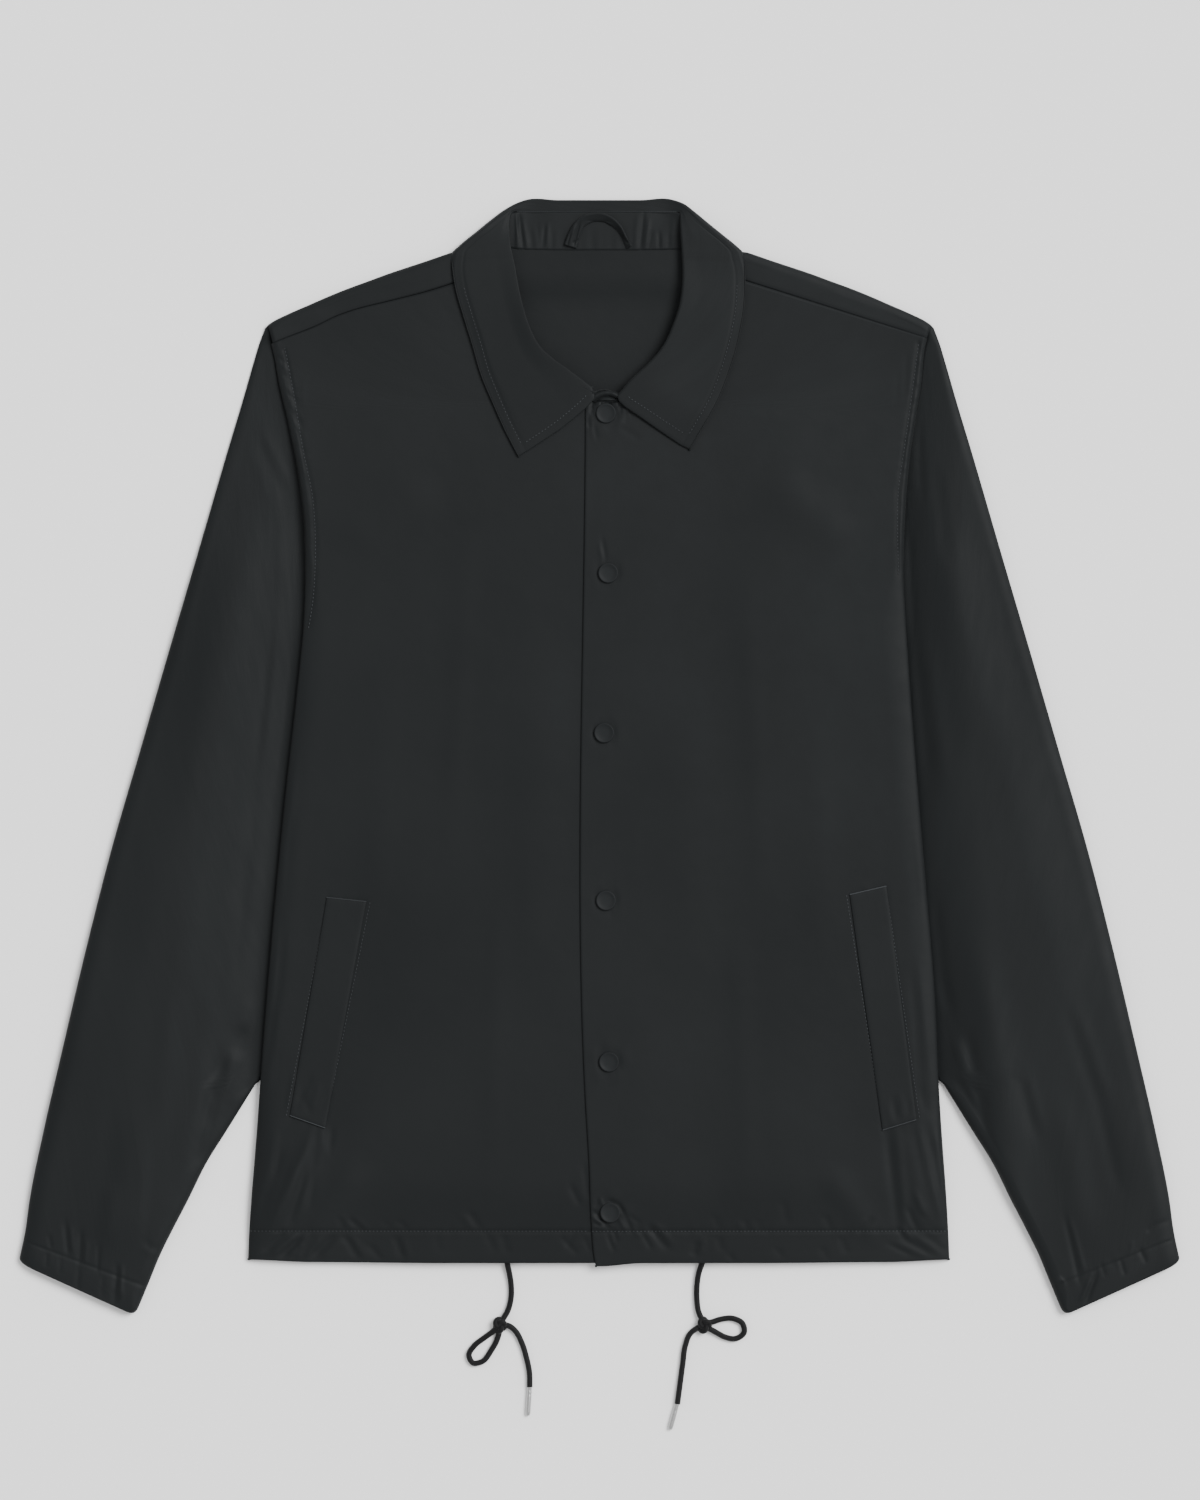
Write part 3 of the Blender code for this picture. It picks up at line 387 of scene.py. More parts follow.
# %% A round tube along a path
def smooth_path(points, step):
    """Points about a step apart on a smooth curve through the route's points, and its length."""
    places = run_along(points)
    dense = np.linspace(0.0, places[-1], max(8, int(places[-1] / step)) + 1)
    path = columns_at(dense, places, points)
    return path, float(np.linalg.norm(np.diff(path, axis=0), axis=1).sum())


def tube_grid(path, radius, sides):
    """Circles of the given radius, one number or one for each point, carried along a path."""
    way = unit(np.gradient(path, axis=0))
    across = unit(np.cross(way, (0.0, 0.0, 1.0)))
    up = np.cross(across, way)
    turn = np.linspace(0.0, 2.0 * math.pi, sides, endpoint=False)
    radius = np.broadcast_to(radius, len(path))[:, None, None]
    ring = across[:, None] * np.cos(turn)[None, :, None] + up[:, None] * np.sin(turn)[None, :, None]
    return path[:, None] + radius * ring


def tube(name, path, radius, sides=12):
    """A closed tube: a grid of circles with one flat face on each end."""
    grid = tube_grid(path, radius, sides)
    rows = len(path)
    faces = grid_faces(rows, sides, True, False).tolist()
    faces += [list(range(sides)), list(range(rows * sides - 1, (rows - 1) * sides - 1, -1))]
    run = lengths_along(path[:, None], 0)[:, 0]
    around = np.linspace(0.0, 2.0 * math.pi * CORD_DIAMETER / 2.0, sides, endpoint=False)
    uv = np.stack(np.broadcast_arrays(around[None, :], run[:, None]), -1).reshape(-1, 2)
    made = mesh_object(name, grid.reshape(-1, 3), faces, uv)
    return made


# %% Cords, knots and end tubes
cord_pieces, knot_pieces, aglet_pieces = [], [], []
for side_name, route in CORD_ROUTES.items():
    path, length = smooth_path(route, 1.2)
    cord = tube("cord_" + side_name, path, CORD_DIAMETER / 2.0)
    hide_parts(*["cord_%s_%s" % (side_name, part) for part in ("hem", "loop", "tail")])

    # Overhand knot: a cord that winds three times round itself while it goes round once
    middle = np.array(KNOT_PLACES[side_name])
    turn = np.linspace(0.0, 4.0 * math.pi, 61)
    wide = 2.9 + 1.5 * np.cos(1.5 * turn)
    coil = np.column_stack((wide * np.cos(turn), 1.25 * wide * np.sin(turn), 1.3 * np.sin(1.5 * turn)))
    knot = tube("knot_" + side_name, middle + coil * (0.86, 0.86, 1.0), KNOT_RADIUS, 10)
    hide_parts("cord_%s_knot" % side_name)

    start, end = (np.array(spot) for spot in AGLET_ENDS[side_name])
    share = np.linspace(0.0, 1.0, 24)
    size = AGLET_RADIUS
    for depth, crimp in AGLET_GROOVES:
        size = size - depth * np.exp(-((share - crimp) / 0.03) ** 2)
    size = size - 0.45 * ease((share - 0.9) / 0.1) - 0.25 * ease((0.04 - share) / 0.04)
    aglet = tube("aglet_" + side_name, start + (end - start) * share[:, None], size, 20)
    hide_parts("cord_%s_aglet" % side_name)

    cord_pieces.append(cord)
    knot_pieces.append(knot)
    aglet_pieces.append(aglet)
    print("cord", side_name, "is", round(length), "mm long")

# %% [markdown]
# ## The pattern's lines
# These tables are the measured outline of the jacket. "Out" is the distance from the middle line. The
# body's side is the armhole seam down to the underarm and the rolled side edge below it.

# %% Tables of the outline
SIDE_Y = (-352, -331, -310, -261, -222, -167, -93, -16, 48, 96, 128, 167, 205, 233, 261, 290, 303.6)
SIDE_OUT = {
    LEFT: (245, 244.2, 243, 239.5, 237, 234.5, 228.6, 222.2, 217.3, 214.1, 212.4, 213.4, 216.3, 220.2,
           224.8, 228.3, 232.6),
    RIGHT: (246, 245.2, 243.8, 239.9, 237, 232.8, 226.4, 218.7, 211.5, 206.9, 205.6, 206.8, 211.8, 217.5,
            224, 228.8, 232.6),
}
OPENING_Y = (-355, -345, -320, -289, -240, 245)
OPENING_X = (-1.3, -3.2, -5.3, -6.3, -9.1, -9.1)
UNDERARM_Y, ARMHOLE_TOP_Y = 128.0, 303.2
NECKLINE = np.array(((28, 251.5), (46, 260.5), (60, 273), (72, 290), (80, 308), (85, 324), (86, 338.3)))
HEM_Y, HEM_STITCH_Y = -352.0, -331.0
BODY_CROWN, HEM_HEIGHT, SHOULDER_DROP, SIDE_DROP = 12.2, 8.6, 4.2, 1.6
TUCK_HEIGHT, SIDE_LIFT, OVERLAP_LIFT = 3.6, 4.2, 1.4


def side_line(side, y):
    """How far out the armhole seam or the rolled edge lies at height y."""
    return curve(y, SIDE_Y, SIDE_OUT[side])


def beside_sleeve(y):
    """1 where a sleeve lies tucked under the body's side, 0 above and below."""
    return ease((168.0 - y) / 34.0) * ease((y + 262.0) / 34.0)


print("chest as laid:", round(2 * float(side_line(LEFT, 60.0))), "mm")

# %% [markdown]
# ## Height of the fronts
# The fronts lie over the back and the air between them: highest in the middle, lower at the hem, the
# shoulders and the sides. On that come the creases. The longest ones fall from the chest, short ones
# slant from below the pockets to the corners of the hem, and every sewn line pulls small waves.

# %% Folds of the body, from the photo
PIXEL, ORIGIN_PIXEL = 0.7, (599.5, 757.5)
# two ends (x, y) of each fold, its width and its height
BODY_FOLDS = (
    (-196, -262, -232, -330, 11, 1.3), (-168, -285, -205, -338, 10, 1.0), (214, -262, 228, -328, 6, 0.7),
    (240, -250, 246, -335, 8, 2.4), (236, 60, 238, -200, 7, 0.8),
    (160, -290, 196, -340, 10, 0.9), (-120, 190, -178, 150, 16, 0.9), (118, 195, 172, 150, 16, 0.9),
    (-40, 60, -46, -150, 20, 0.7), (60, 40, 70, -170, 22, 0.7),
)


def seen(*rows):
    """Creases as read off the photo: two ends in its pixels, then width and height in mm."""
    table = np.array(rows, dtype=float)
    table[:, (0, 2)] = (table[:, (0, 2)] - ORIGIN_PIXEL[0]) * PIXEL
    table[:, (1, 3)] = (ORIGIN_PIXEL[1] - table[:, (1, 3)]) * PIXEL
    return table


SMALL_FOLDS = seen(
    # from below the pockets down to the corners of the hem
    (272, 1228, 300, 1158, 3.4, 1.1), (262, 1212, 282, 1150, 3, -0.8), (288, 1226, 306, 1168, 2.6, -0.8),
    (284, 1216, 312, 1132, 3, 0.8), (300, 1212, 318, 1160, 2.6, 0.7), (310, 1206, 316, 1150, 2.6, -0.6),
    (268, 1190, 276, 1130, 2.6, 0.5), (330, 1150, 333, 1128, 1.8, -0.6), (322, 1148, 322, 1124, 1.8, 0.4),
    (312, 1112, 302, 1096, 2.4, -0.5), (926, 1128, 948, 1222, 2.6, -0.9), (918, 1124, 940, 1214, 2.6, 0.8),
    (934, 1170, 951, 1236, 1.8, -0.9), (941, 1180, 952, 1232, 1.4, 0.7), (886, 1128, 898, 1232, 3.2, -0.7),
    (896, 1128, 906, 1224, 3.4, 0.6), (906, 1206, 918, 1232, 1.8, -0.7), (914, 1190, 930, 1228, 2.2, 0.6),
    (921, 1212, 934, 1232, 1.6, -0.6), (936, 1130, 944, 1180, 2.4, 0.5),
    # along the rolled sides
    (303, 640, 298, 720, 3.2, -0.3), (296, 760, 281, 900, 2.6, 0.6), (292, 820, 276, 960, 2, -0.7),
    (286, 860, 272, 1010, 2, 0.7), (284, 930, 270, 1060, 2, -0.7), (280, 1000, 268, 1090, 2.2, 0.5),
    (912, 700, 922, 820, 2.6, 0.6), (918, 760, 930, 900, 2, -0.7), (916, 830, 930, 960, 2.4, 0.7),
    (924, 900, 938, 1040, 2, -0.8), (918, 960, 932, 1090, 2.4, 0.6), (912, 980, 922, 1110, 2.2, -0.5),
    # at the lower ends of the welts
    (312, 1076, 300, 1100, 2, -0.7), (320, 1084, 312, 1108, 1.6, 0.5), (304, 1080, 296, 1110, 1.8, -0.5),
    (322, 1110, 330, 1090, 1.6, -0.4), (296, 1072, 288, 1108, 1.6, 0.5), (892, 1096, 896, 1118, 1.6, -0.6),
    (900, 1094, 902, 1116, 1.6, 0.5), (908, 1100, 908, 1114, 1.4, -0.5), (887, 1104, 890, 1122, 1.4, 0.4),
    (920, 1086, 926, 1112, 1.6, -0.5),
    # beside the armholes
    (276, 352, 286, 362, 1.4, -0.26), (280, 362, 290, 372, 1.4, 0.23), (282, 374, 291, 380, 1.3, -0.2),
    (284, 384, 294, 396, 1.4, 0.2), (287, 392, 300, 404, 1.4, -0.2), (290, 402, 303, 420, 1.6, 0.17),
    (292, 412, 304, 430, 1.4, -0.17), (296, 424, 306, 440, 1.4, 0.13), (300, 396, 303, 430, 1.8, -0.13),
    (304, 380, 302, 410, 2, 0.1), (308, 500, 310, 540, 1.6, -0.1), (314, 585, 310, 615, 1.8, -0.17),
    (317, 590, 316, 620, 1.8, 0.13), (296, 470, 300, 520, 1.6, 0.11), (906, 352, 904, 400, 2.2, -0.13),
    (912, 352, 910, 396, 1.8, 0.11), (898, 370, 896, 404, 2.2, -0.1), (917, 340, 921, 360, 1.6, -0.17),
    (922, 344, 919, 372, 1.4, 0.17), (908, 440, 904, 470, 1.8, 0.1), (903, 470, 902, 520, 1.8, -0.11),
    (899, 520, 898, 560, 1.6, 0.1),
    # long faint folds
    (468, 543, 451, 843, 9, 0.3), (385, 672, 377, 929, 12, 0.3), (748, 586, 760, 886, 9, 0.3),
    (814, 715, 825, 972, 12, 0.3), (500, 886, 491, 1172, 8, 0.25), (737, 929, 748, 1186, 8, 0.25),
)
print("folds of the body:", len(BODY_FOLDS) + len(SMALL_FOLDS))

# %% Short puckers at the hem and the snaps
SHORT_PUCKERS = seen(
    # across the hem's stitching and in its casing
    (339, 1216, 346, 1229, 1.4, -0.5), (343, 1214, 351, 1228, 1.3, 0.4), (349, 1217, 365, 1231, 1.6, -0.6),
    (355, 1216, 368, 1229, 1.3, 0.35), (399, 1219, 408, 1230, 1.3, -0.5), (470, 1211, 480, 1228, 1.6, -0.6),
    (463, 1213, 472, 1228, 1.5, 0.4), (384, 1219, 390, 1228, 1.2, -0.3), (296, 1220, 292, 1232, 1.2, -0.35),
    (272, 1256, 297, 1233, 1.7, 1.2), (264, 1254, 286, 1230, 1.6, -1.0), (281, 1258, 302, 1238, 1.5, -1.0),
    (290, 1256, 308, 1234, 1.5, 0.7), (298, 1258, 304, 1242, 1.3, 0.5), (313, 1257, 336, 1233, 2.1, -0.9),
    (306, 1256, 322, 1236, 1.7, 0.6), (324, 1257, 342, 1238, 1.8, 0.5), (345, 1235, 359, 1258, 1.8, -0.8),
    (352, 1235, 365, 1256, 1.4, 0.5), (369, 1243, 381, 1258, 1.6, -0.6), (396, 1235, 403, 1257, 1.7, -0.75),
    (403, 1236, 409, 1256, 1.3, 0.4), (486, 1231, 494, 1249, 1.6, -0.45), (503, 1233, 507, 1252, 1.6, -0.55),
    (436, 1234, 440, 1250, 1.5, -0.3), (561, 1236, 577, 1252, 1.8, -0.35), (648, 1225, 668, 1248, 2, -0.8),
    (642, 1232, 651, 1247, 1.5, -0.45), (655, 1222, 672, 1242, 1.5, 0.45), (607, 1233, 614, 1247, 1.4, -0.5),
    (697, 1241, 693, 1254, 2.2, -0.7), (704, 1236, 699, 1252, 1.6, 0.5), (718, 1236, 722, 1250, 1.6, -0.5),
    (744, 1218, 747, 1231, 1.4, -0.5), (738, 1220, 742, 1230, 1.2, 0.35), (714, 1215, 719, 1228, 1.3, -0.4),
    (757, 1218, 760, 1230, 1.3, -0.35), (782, 1200, 787, 1224, 2, -0.4), (824, 1214, 831, 1230, 1.5, -0.5),
    (840, 1236, 846, 1252, 1.6, -0.5), (858, 1232, 873, 1217, 1.8, -0.6), (852, 1231, 866, 1218, 1.4, 0.4),
    (728, 1252, 734, 1260, 1.5, -0.5), (775, 1246, 782, 1256, 1.5, -0.4), (822, 1246, 826, 1258, 1.4, -0.4),
    (940, 1256, 910, 1232, 1.9, 0.4), (943, 1252, 922, 1230, 1.7, -0.4), (936, 1258, 902, 1238, 1.9, -0.4),
    (926, 1258, 896, 1242, 1.7, 0.3), (912, 1256, 886, 1242, 1.8, -0.4), (902, 1226, 912, 1240, 1.2, 0.5),
    (896, 1226, 905, 1240, 1.2, -0.5),
    # round the top and bottom snaps and along the opening
    (593, 419, 597, 440, 1.1, -0.25), (590, 424, 594, 442, 1.2, 0.12),
    (594, 1210, 606, 1222, 1.1, -1.05), (592, 1216, 604, 1225, 1, 0.9), (594, 1222, 610, 1226, 1, -1.05),
    (596, 1228, 612, 1223, 1, 0.75), (595, 1206, 600, 1196, 1.2, -0.75), (599, 1196, 604, 1206, 1.1, 0.68),
    (608, 1199, 618, 1203, 1.2, -0.6), (618, 1202, 624, 1212, 1.2, -0.7), (622, 1208, 632, 1230, 1.1, -0.5),
    (618, 1216, 627, 1232, 1.2, 0.5), (613, 1228, 617, 1240, 1.4, -0.5), (628, 1214, 640, 1222, 1.4, -0.3),
    (632, 1226, 640, 1236, 1.4, 0.3), (580, 1204, 570, 1184, 2.2, -0.5), (588, 1196, 584, 1164, 2, -0.4),
    (576, 1230, 566, 1246, 1.8, -0.4), (584, 1236, 590, 1250, 1.6, -0.3), (606, 560, 602, 540, 1.4, -0.5),
    (603, 562, 599, 546, 1.1, 0.35), (588, 413, 597, 403, 1.2, -1.5),
    (593, 416, 600, 406, 1, 0.9), (587, 418, 590, 428, 1, -0.9), (586, 404, 594, 399, 1.3, -1.4),
    (617, 412, 629, 400, 1.1, -1.3), (620, 416, 633, 404, 1, 1.0), (618, 409, 625, 398, 1, 1.0),
    (622, 420, 636, 409, 1.2, -0.6), (620, 428, 640, 440, 2.2, -0.2),
)
print("short puckers:", len(SHORT_PUCKERS))

# %% Snaps, welts and armholes in plan
SNAP_PLACES = ((4.5, 240.5), (6.0, 128.8), (3.2, 17.2), (4.5, -99.8), (6.6, -212.5), (7.4, -317.8))
WELTS = {RIGHT: ((163.4, -100.6), (192.0, -258.6), (215.8, -250.2), (190.0, -97.8)),
         LEFT: ((175.2, -95.6), (198.1, -260.1), (221.0, -253.0), (199.9, -89.9))}
ARMHOLE_STITCH = {
    RIGHT: ((220.2, 287.4), (212.5, 246.8), (207.2, 214.6), (200.6, 182.4), (198.5, 150.2), (198.9, 128.0),
            (200.0, 112.0), (201.6, 100.0), (203.4, 90.0)),
    LEFT: ((223.0, 289.5), (218.1, 252.4), (213.2, 218.1), (208.6, 184.5), (208.3, 150.2), (209.0, 128.0)),
}
print("snaps:", len(SNAP_PLACES), "welts:", len(WELTS))


def in_plan(line, side):
    """A table line in plan: its distances from the middle line become x on that side."""
    return np.array(line) * (side, 1)


# %% Small relief of a front
ARC_HEIGHT, ARC_GAP = 1.25, 4.4
DENT, DENT_AT, RAY_HEIGHT, RAYS_AT = 0.3, 7.8, 0.16, 12.0


def snap_arcs(x, y):
    """Crumpled arcs over the top snap: rings ARC_GAP apart that fade away from it and towards its sides."""
    top_x, top_y = SNAP_PLACES[0]
    away = np.hypot(x - top_x, y - top_y)
    turn = np.degrees(np.arctan2(y - top_y, x - top_x))
    window = (ease((turn - 22.0) / 20.0) * ease((172.0 - turn) / 16.0)
              * ease((away - 7.6) / 1.6) * ease((17.5 - away) / 3.0))
    uneven = 0.75 + 0.5 * noise(x, y, 6.0, 4.0, 41)
    place = away - 9.6 + 0.05 * (turn - 90.0) / 4.0
    return ARC_HEIGHT * window * uneven * np.cos(2.0 * math.pi * place / ARC_GAP)


def body_relief(side, x, y):
    """Small heights on a front: folds, noise, sewn lines, gathers at the hem, dents at the snaps."""
    z = creases(SMALL_FOLDS, x, y) + creases(SHORT_PUCKERS, x, y)
    z = z + 0.30 * noise(x, y, 80.0, 130.0, 3) + 0.08 * noise(x, y, 24.0, 60.0, 5)
    line = in_plan(ARMHOLE_STITCH[side], side)
    z = z + gathered(line, x, y, 3.0, 0.22, 1.0 + side, 0.5)
    off, along = beside_line(line, x, y)
    band = ease((side * off + 0.5) / 2.0) * ease((y - 120.0) / 20.0) * ease((16.0 - side * off) / 4.0)
    fine = 0.12 * ripple(1.3 * along + 0.6 * off, 4.0 + side) + 0.16 * noise(x, y, 2.2, 3.0, 51 + side)
    z = z + band * fine
    z = z + gathered(((-250, HEM_STITCH_Y), (250, HEM_STITCH_Y)), x, y, 3.5, 0.2, 2.5, 0.6)
    z = z + 0.15 * ease((y - HEM_Y) / 4.0) * ease((-334.0 - y) / 8.0)
    corners = in_plan(WELTS[side], side)
    for one, other, depth in ((corners[0], corners[1], 0.12), (corners[3], corners[2], 0.12),
                              (corners[1], corners[2], 0.30), (corners[0], corners[3], 0.16)):
        z = z + gathered((one, other), x, y, 3.5, depth, depth * 9.0, 0.2)
    for spot_x, spot_y in SNAP_PLACES:
        away = np.hypot(x - spot_x, y - spot_y)
        turn = np.arctan2(y - spot_y, x - spot_x)
        rays = 0.5 + 0.5 * np.sin(5.0 * turn + spot_x)
        pull = 1.6 if abs(spot_y) > 200 else 0.6
        z = z - DENT * np.exp(-((away - DENT_AT) / 1.2) ** 2)
        z = z + RAY_HEIGHT * pull * rays * np.exp(-((away - RAYS_AT) / 4.0) ** 2)
    return z + snap_arcs(x, y)


# %% Height of a front
def front_height(x, y):
    """Height of the fronts without small relief: crown, less the drops at hem, shoulder and side."""
    height = HEM_HEIGHT + (BODY_CROWN - HEM_HEIGHT) * ease((y - HEM_Y) / 60.0)
    height = height - SHOULDER_DROP * ease((y - 150.0) / 140.0)
    height = height - SIDE_DROP * ease((np.abs(x) - 120.0) / 90.0)
    return height + creases(BODY_FOLDS, x, y)


def overlap_lift(side, x):
    """The upper front and the collar's upper end lie this much higher, over the under front."""
    return OVERLAP_LIFT * ease((90.0 - x) / 68.0) if side == LEFT else 0.0 * x


def front_surface(side, x, y):
    """Height of a front's outer face with everything on it."""
    return front_height(x, y) + body_relief(side, x, y) + overlap_lift(side, x)


print("height in the middle of the chest:", round(float(front_height(0.0, 0.0)), 1), "mm")

# %% [markdown]
# ## The two fronts
# Each front is one grid. A row runs from the opening out to the side. Above the underarm it ends at the
# armhole seam, where the cloth bends down a little. Below, it rolls right round to the underside. The
# rows near the neck start on the neckline and fan out, so the shoulder seam is the last row.


# %% Rows of a front
BEND_OUT = (86, 102, 120, 143, 175, 184, 199, 218, 230)
BEND_RISE = (-1.5, -1.8, -1.8, -0.5, 1.3, 0.9, -1.6, -3.0, -4.0)


def shoulder_bend(side, out):
    """The wearer's right shoulder seam isn't straight: how far it bends up from a line."""
    bend = curve(out, BEND_OUT, BEND_RISE)
    return bend if side == RIGHT else 0.0 * bend


def front_rows(side):
    """Inner end (x, y) and outer y of every row, closer together where the hem is gathered."""
    low = np.concatenate((np.arange(HEM_Y, -300.0, 1.3), np.arange(-299.0, 196.0, 3.2),
                          np.arange(197.0, 233.0, 1.5)))
    opening = curve(low, OPENING_Y, OPENING_X) if side == LEFT else 19.0 + 0.0 * low
    inner = np.column_stack((opening, low))
    corner = np.array((opening[-1], 248.6))
    step = np.linspace(0.0, 1.0, 6)[1:, None]
    inner = np.concatenate((inner, inner[-1] + (corner - inner[-1]) * step))
    outer = np.concatenate((low, low[-1] + (240.0 - low[-1]) * step[:, 0]))
    neck = NECKLINE * (side, 1)
    step = np.linspace(0.0, 1.0, 9)[1:, None]
    inner = np.concatenate((inner, corner + (neck[0] - corner) * step))
    outer = np.concatenate((outer, 240.0 + 7.0 * step[:, 0]))
    place = np.linspace(0.0, 6.0, 37)[1:]
    inner = np.concatenate((inner, columns_at(place, range(7), neck)))
    outer = np.concatenate((outer, curve(place, range(7), (247, 254, 262, 270, 278, 286, 293.2))))
    return inner, outer


def side_roll(y):
    """0 at the open armhole, 1 where the front rolls right round to the underside."""
    return ease((150.0 - y) / 60.0)


# %% A front from its rows
FOLD_REACH, OPEN_REACH, UNDER_REACH = 16.0, {LEFT: 3.6, RIGHT: 5.0}, 4.0


def arc_start(fold, way, angle, reach):
    """Where a flat run ends and the arc round a fold begins."""
    return fold - way * (reach * np.sin(np.minimum(angle, math.pi / 2)))[:, None]


def fold_arc(fold, way, turn, reach, top, low):
    """An arc down round a fold at the angles turn: a half cosine in height.

    In plan it lies reach (1 - sin turn) back from the fold, moved so that an arc that stops short still
    ends on it. Once it has turned past the fold, it lies UNDER_REACH (1 - sin turn) back.
    """
    limit = (reach * (1.0 - np.sin(np.minimum(turn[:, -1], math.pi / 2))))[:, None]
    back = 1.0 - np.sin(turn)
    spread = np.where(turn <= math.pi / 2, reach[:, None] * back - limit, UNDER_REACH * back)
    plan = fold[:, None] - way[:, None] * spread[..., None]
    return plan, low[:, None] + ((top - low) / 2.0)[:, None] * (1.0 + np.cos(turn))


def front_grid(side):
    """All points of a front: a flat run from the opening, then an arc down and round the edge."""
    inner, outer_y = front_rows(side)
    roll = side_roll(outer_y)
    edge = side_line(side, outer_y) + 0.15 - 0.4 * roll
    angle = np.radians(75.0 + 105.0 * roll)
    reach = OPEN_REACH[side] + (FOLD_REACH - OPEN_REACH[side]) * roll
    fold = np.column_stack((side * edge, outer_y))
    way = unit(fold - inner)
    centre = arc_start(fold, way, angle, reach)
    share = np.interp(np.linspace(0.0, 1.0, 128), (0.0, 0.29, 0.80, 1.0), (0.0, 0.19, 0.82, 1.0))
    plan = inner[:, None] + (centre - inner)[:, None] * share[None, :, None]
    height = front_surface(side, plan[..., 0], plan[..., 1])
    turn = angle[:, None] * np.linspace(0.0, 1.0, 19)[None, 1:]
    arc_plan, arc_z = fold_arc(fold, way, turn, reach, height[:, -1], SIDE_LIFT * beside_sleeve(outer_y))
    change = front_surface(side, arc_plan[..., 0], arc_plan[..., 1]) - height[:, -1:]
    arc = raised(arc_plan, arc_z + change * np.clip(np.cos(turn), 0.0, 1.0))
    last = arc[:, -1]
    tip = np.column_stack((side * (edge - 4.2 - 3.8 * roll), outer_y, last[:, 2]))
    open_tip = last - np.column_stack((way * 0.6, np.full(len(way), 1.3)))
    tip = open_tip + (tip - open_tip) * ease((roll - 0.6) / 0.4)[:, None]
    run = last[:, None] + (tip - last)[:, None] * np.linspace(0.0, 1.0, 4)[None, 1:, None]
    grid = np.concatenate((raised(plan, height), arc, run), axis=1)
    near_seam = ease((np.arange(len(grid)) - len(grid) + 25.0) / 24.0)[:, None]
    grid[..., 1] += near_seam * shoulder_bend(side, np.abs(grid[..., 0]))
    hem = ease((-330.0 - grid[..., 1]) / 14.0)
    drop = 0.6 * ease((200.0 - np.abs(grid[..., 0])) / 90.0)
    if side == LEFT:
        drop = drop + 2.2 * ease((30.0 - grid[..., 0]) / 30.0)
    grid[..., 1] += hem * (1.6 * ease((np.abs(grid[..., 0]) - 200.0) / 45.0) - drop)
    return grid


front_pieces = {}
for side, name in SIDES:
    grid = turned(front_grid(side), 0.8, ("start", "first"))
    front_pieces[side] = cloth("front_" + name, grid, flip=side == LEFT)

# %% [markdown]
# ## The sleeves
# A sleeve is a flattened tube. Its rings start on the armhole seam and turn slowly, over the sleeve's
# head, into straight sections square to the arm. The inner edge slips under the body's side and comes
# out again above the hem. Long soft folds run down it, and the elastic in the cuff gathers its end.

# %% Tables of the sleeve
SLEEVE_OUTER_Y = (-353.2, -331, -310, -261, -205, -135, -65, 5, 75, 145, 215, 250, 278, 289, 303.2)
SLEEVE_OUTER_OUT = (406.3, 401.6, 398.7, 388.8, 375.9, 359.4, 341.6, 321.3, 301, 280.4, 260, 249.5, 241.5,
                    238.2, 232.8)
TUCK_Y = (-226, -205, -170, -120, -60, 0, 48, 96, 122)
TUCK = (0, 8, 14, 17, 18, 17, 15, 11, 8)
SLEEVE_INNER_Y = (-390, -380, -366, -345, -331, -310, -282, -261, -240, -226)
SLEEVE_INNER_OUT = (324.8, 320.5, 314.7, 305.9, 298.9, 288, 274, 260.8, 247.8, 239.2)
# share of the armhole's line in a ring, y of its outer and its inner end, crown
SLEEVE_RINGS = np.array((
    (1.00, 144, 8, 8.0), (0.86, 144, 8, 9.0), (0.70, 144, 8, 10.0), (0.53, 144, 8, 10.8),
    (0.36, 144, 8, 11.2), (0.18, 144, 8, 11.4), (0.0, 144, 8, 11.4), (0.0, 104, -22, 11.2),
    (0.0, 62, -56, 11.2), (0.0, 14, -92, 11.2), (0.0, -38, -130, 11.2), (0.0, -90, -164, 11.4),
    (0.0, -140, -196, 11.4), (0.0, -182, -222, 11.2), (0.0, -214, -244, 11.0), (0.0, -248, -272, 10.7),
    (0.0, -282, -306, 10.2), (0.0, -308, -334, 9.8), (0.0, -326, -354, 9.2), (0.0, -337, -368.5, 8.8),
    (0.0, -346, -380, 8.8), (0.0, -353.2, -390, 8.2)))
SLEEVE_FOLDS = (
    (-262, -150, -286, -292, 12, 1.5), (-352, -120, -384, -300, 16, 1.2), (-240, 150, -262, 20, 18, 1.2),
    (-318, -250, -336, -340, 12, 1.1), (266, -140, 292, -300, 12, 1.5), (350, -130, 380, -305, 16, 1.2),
    (244, 150, 268, 10, 18, 1.2), (322, -240, 340, -338, 12, 1.1),
)
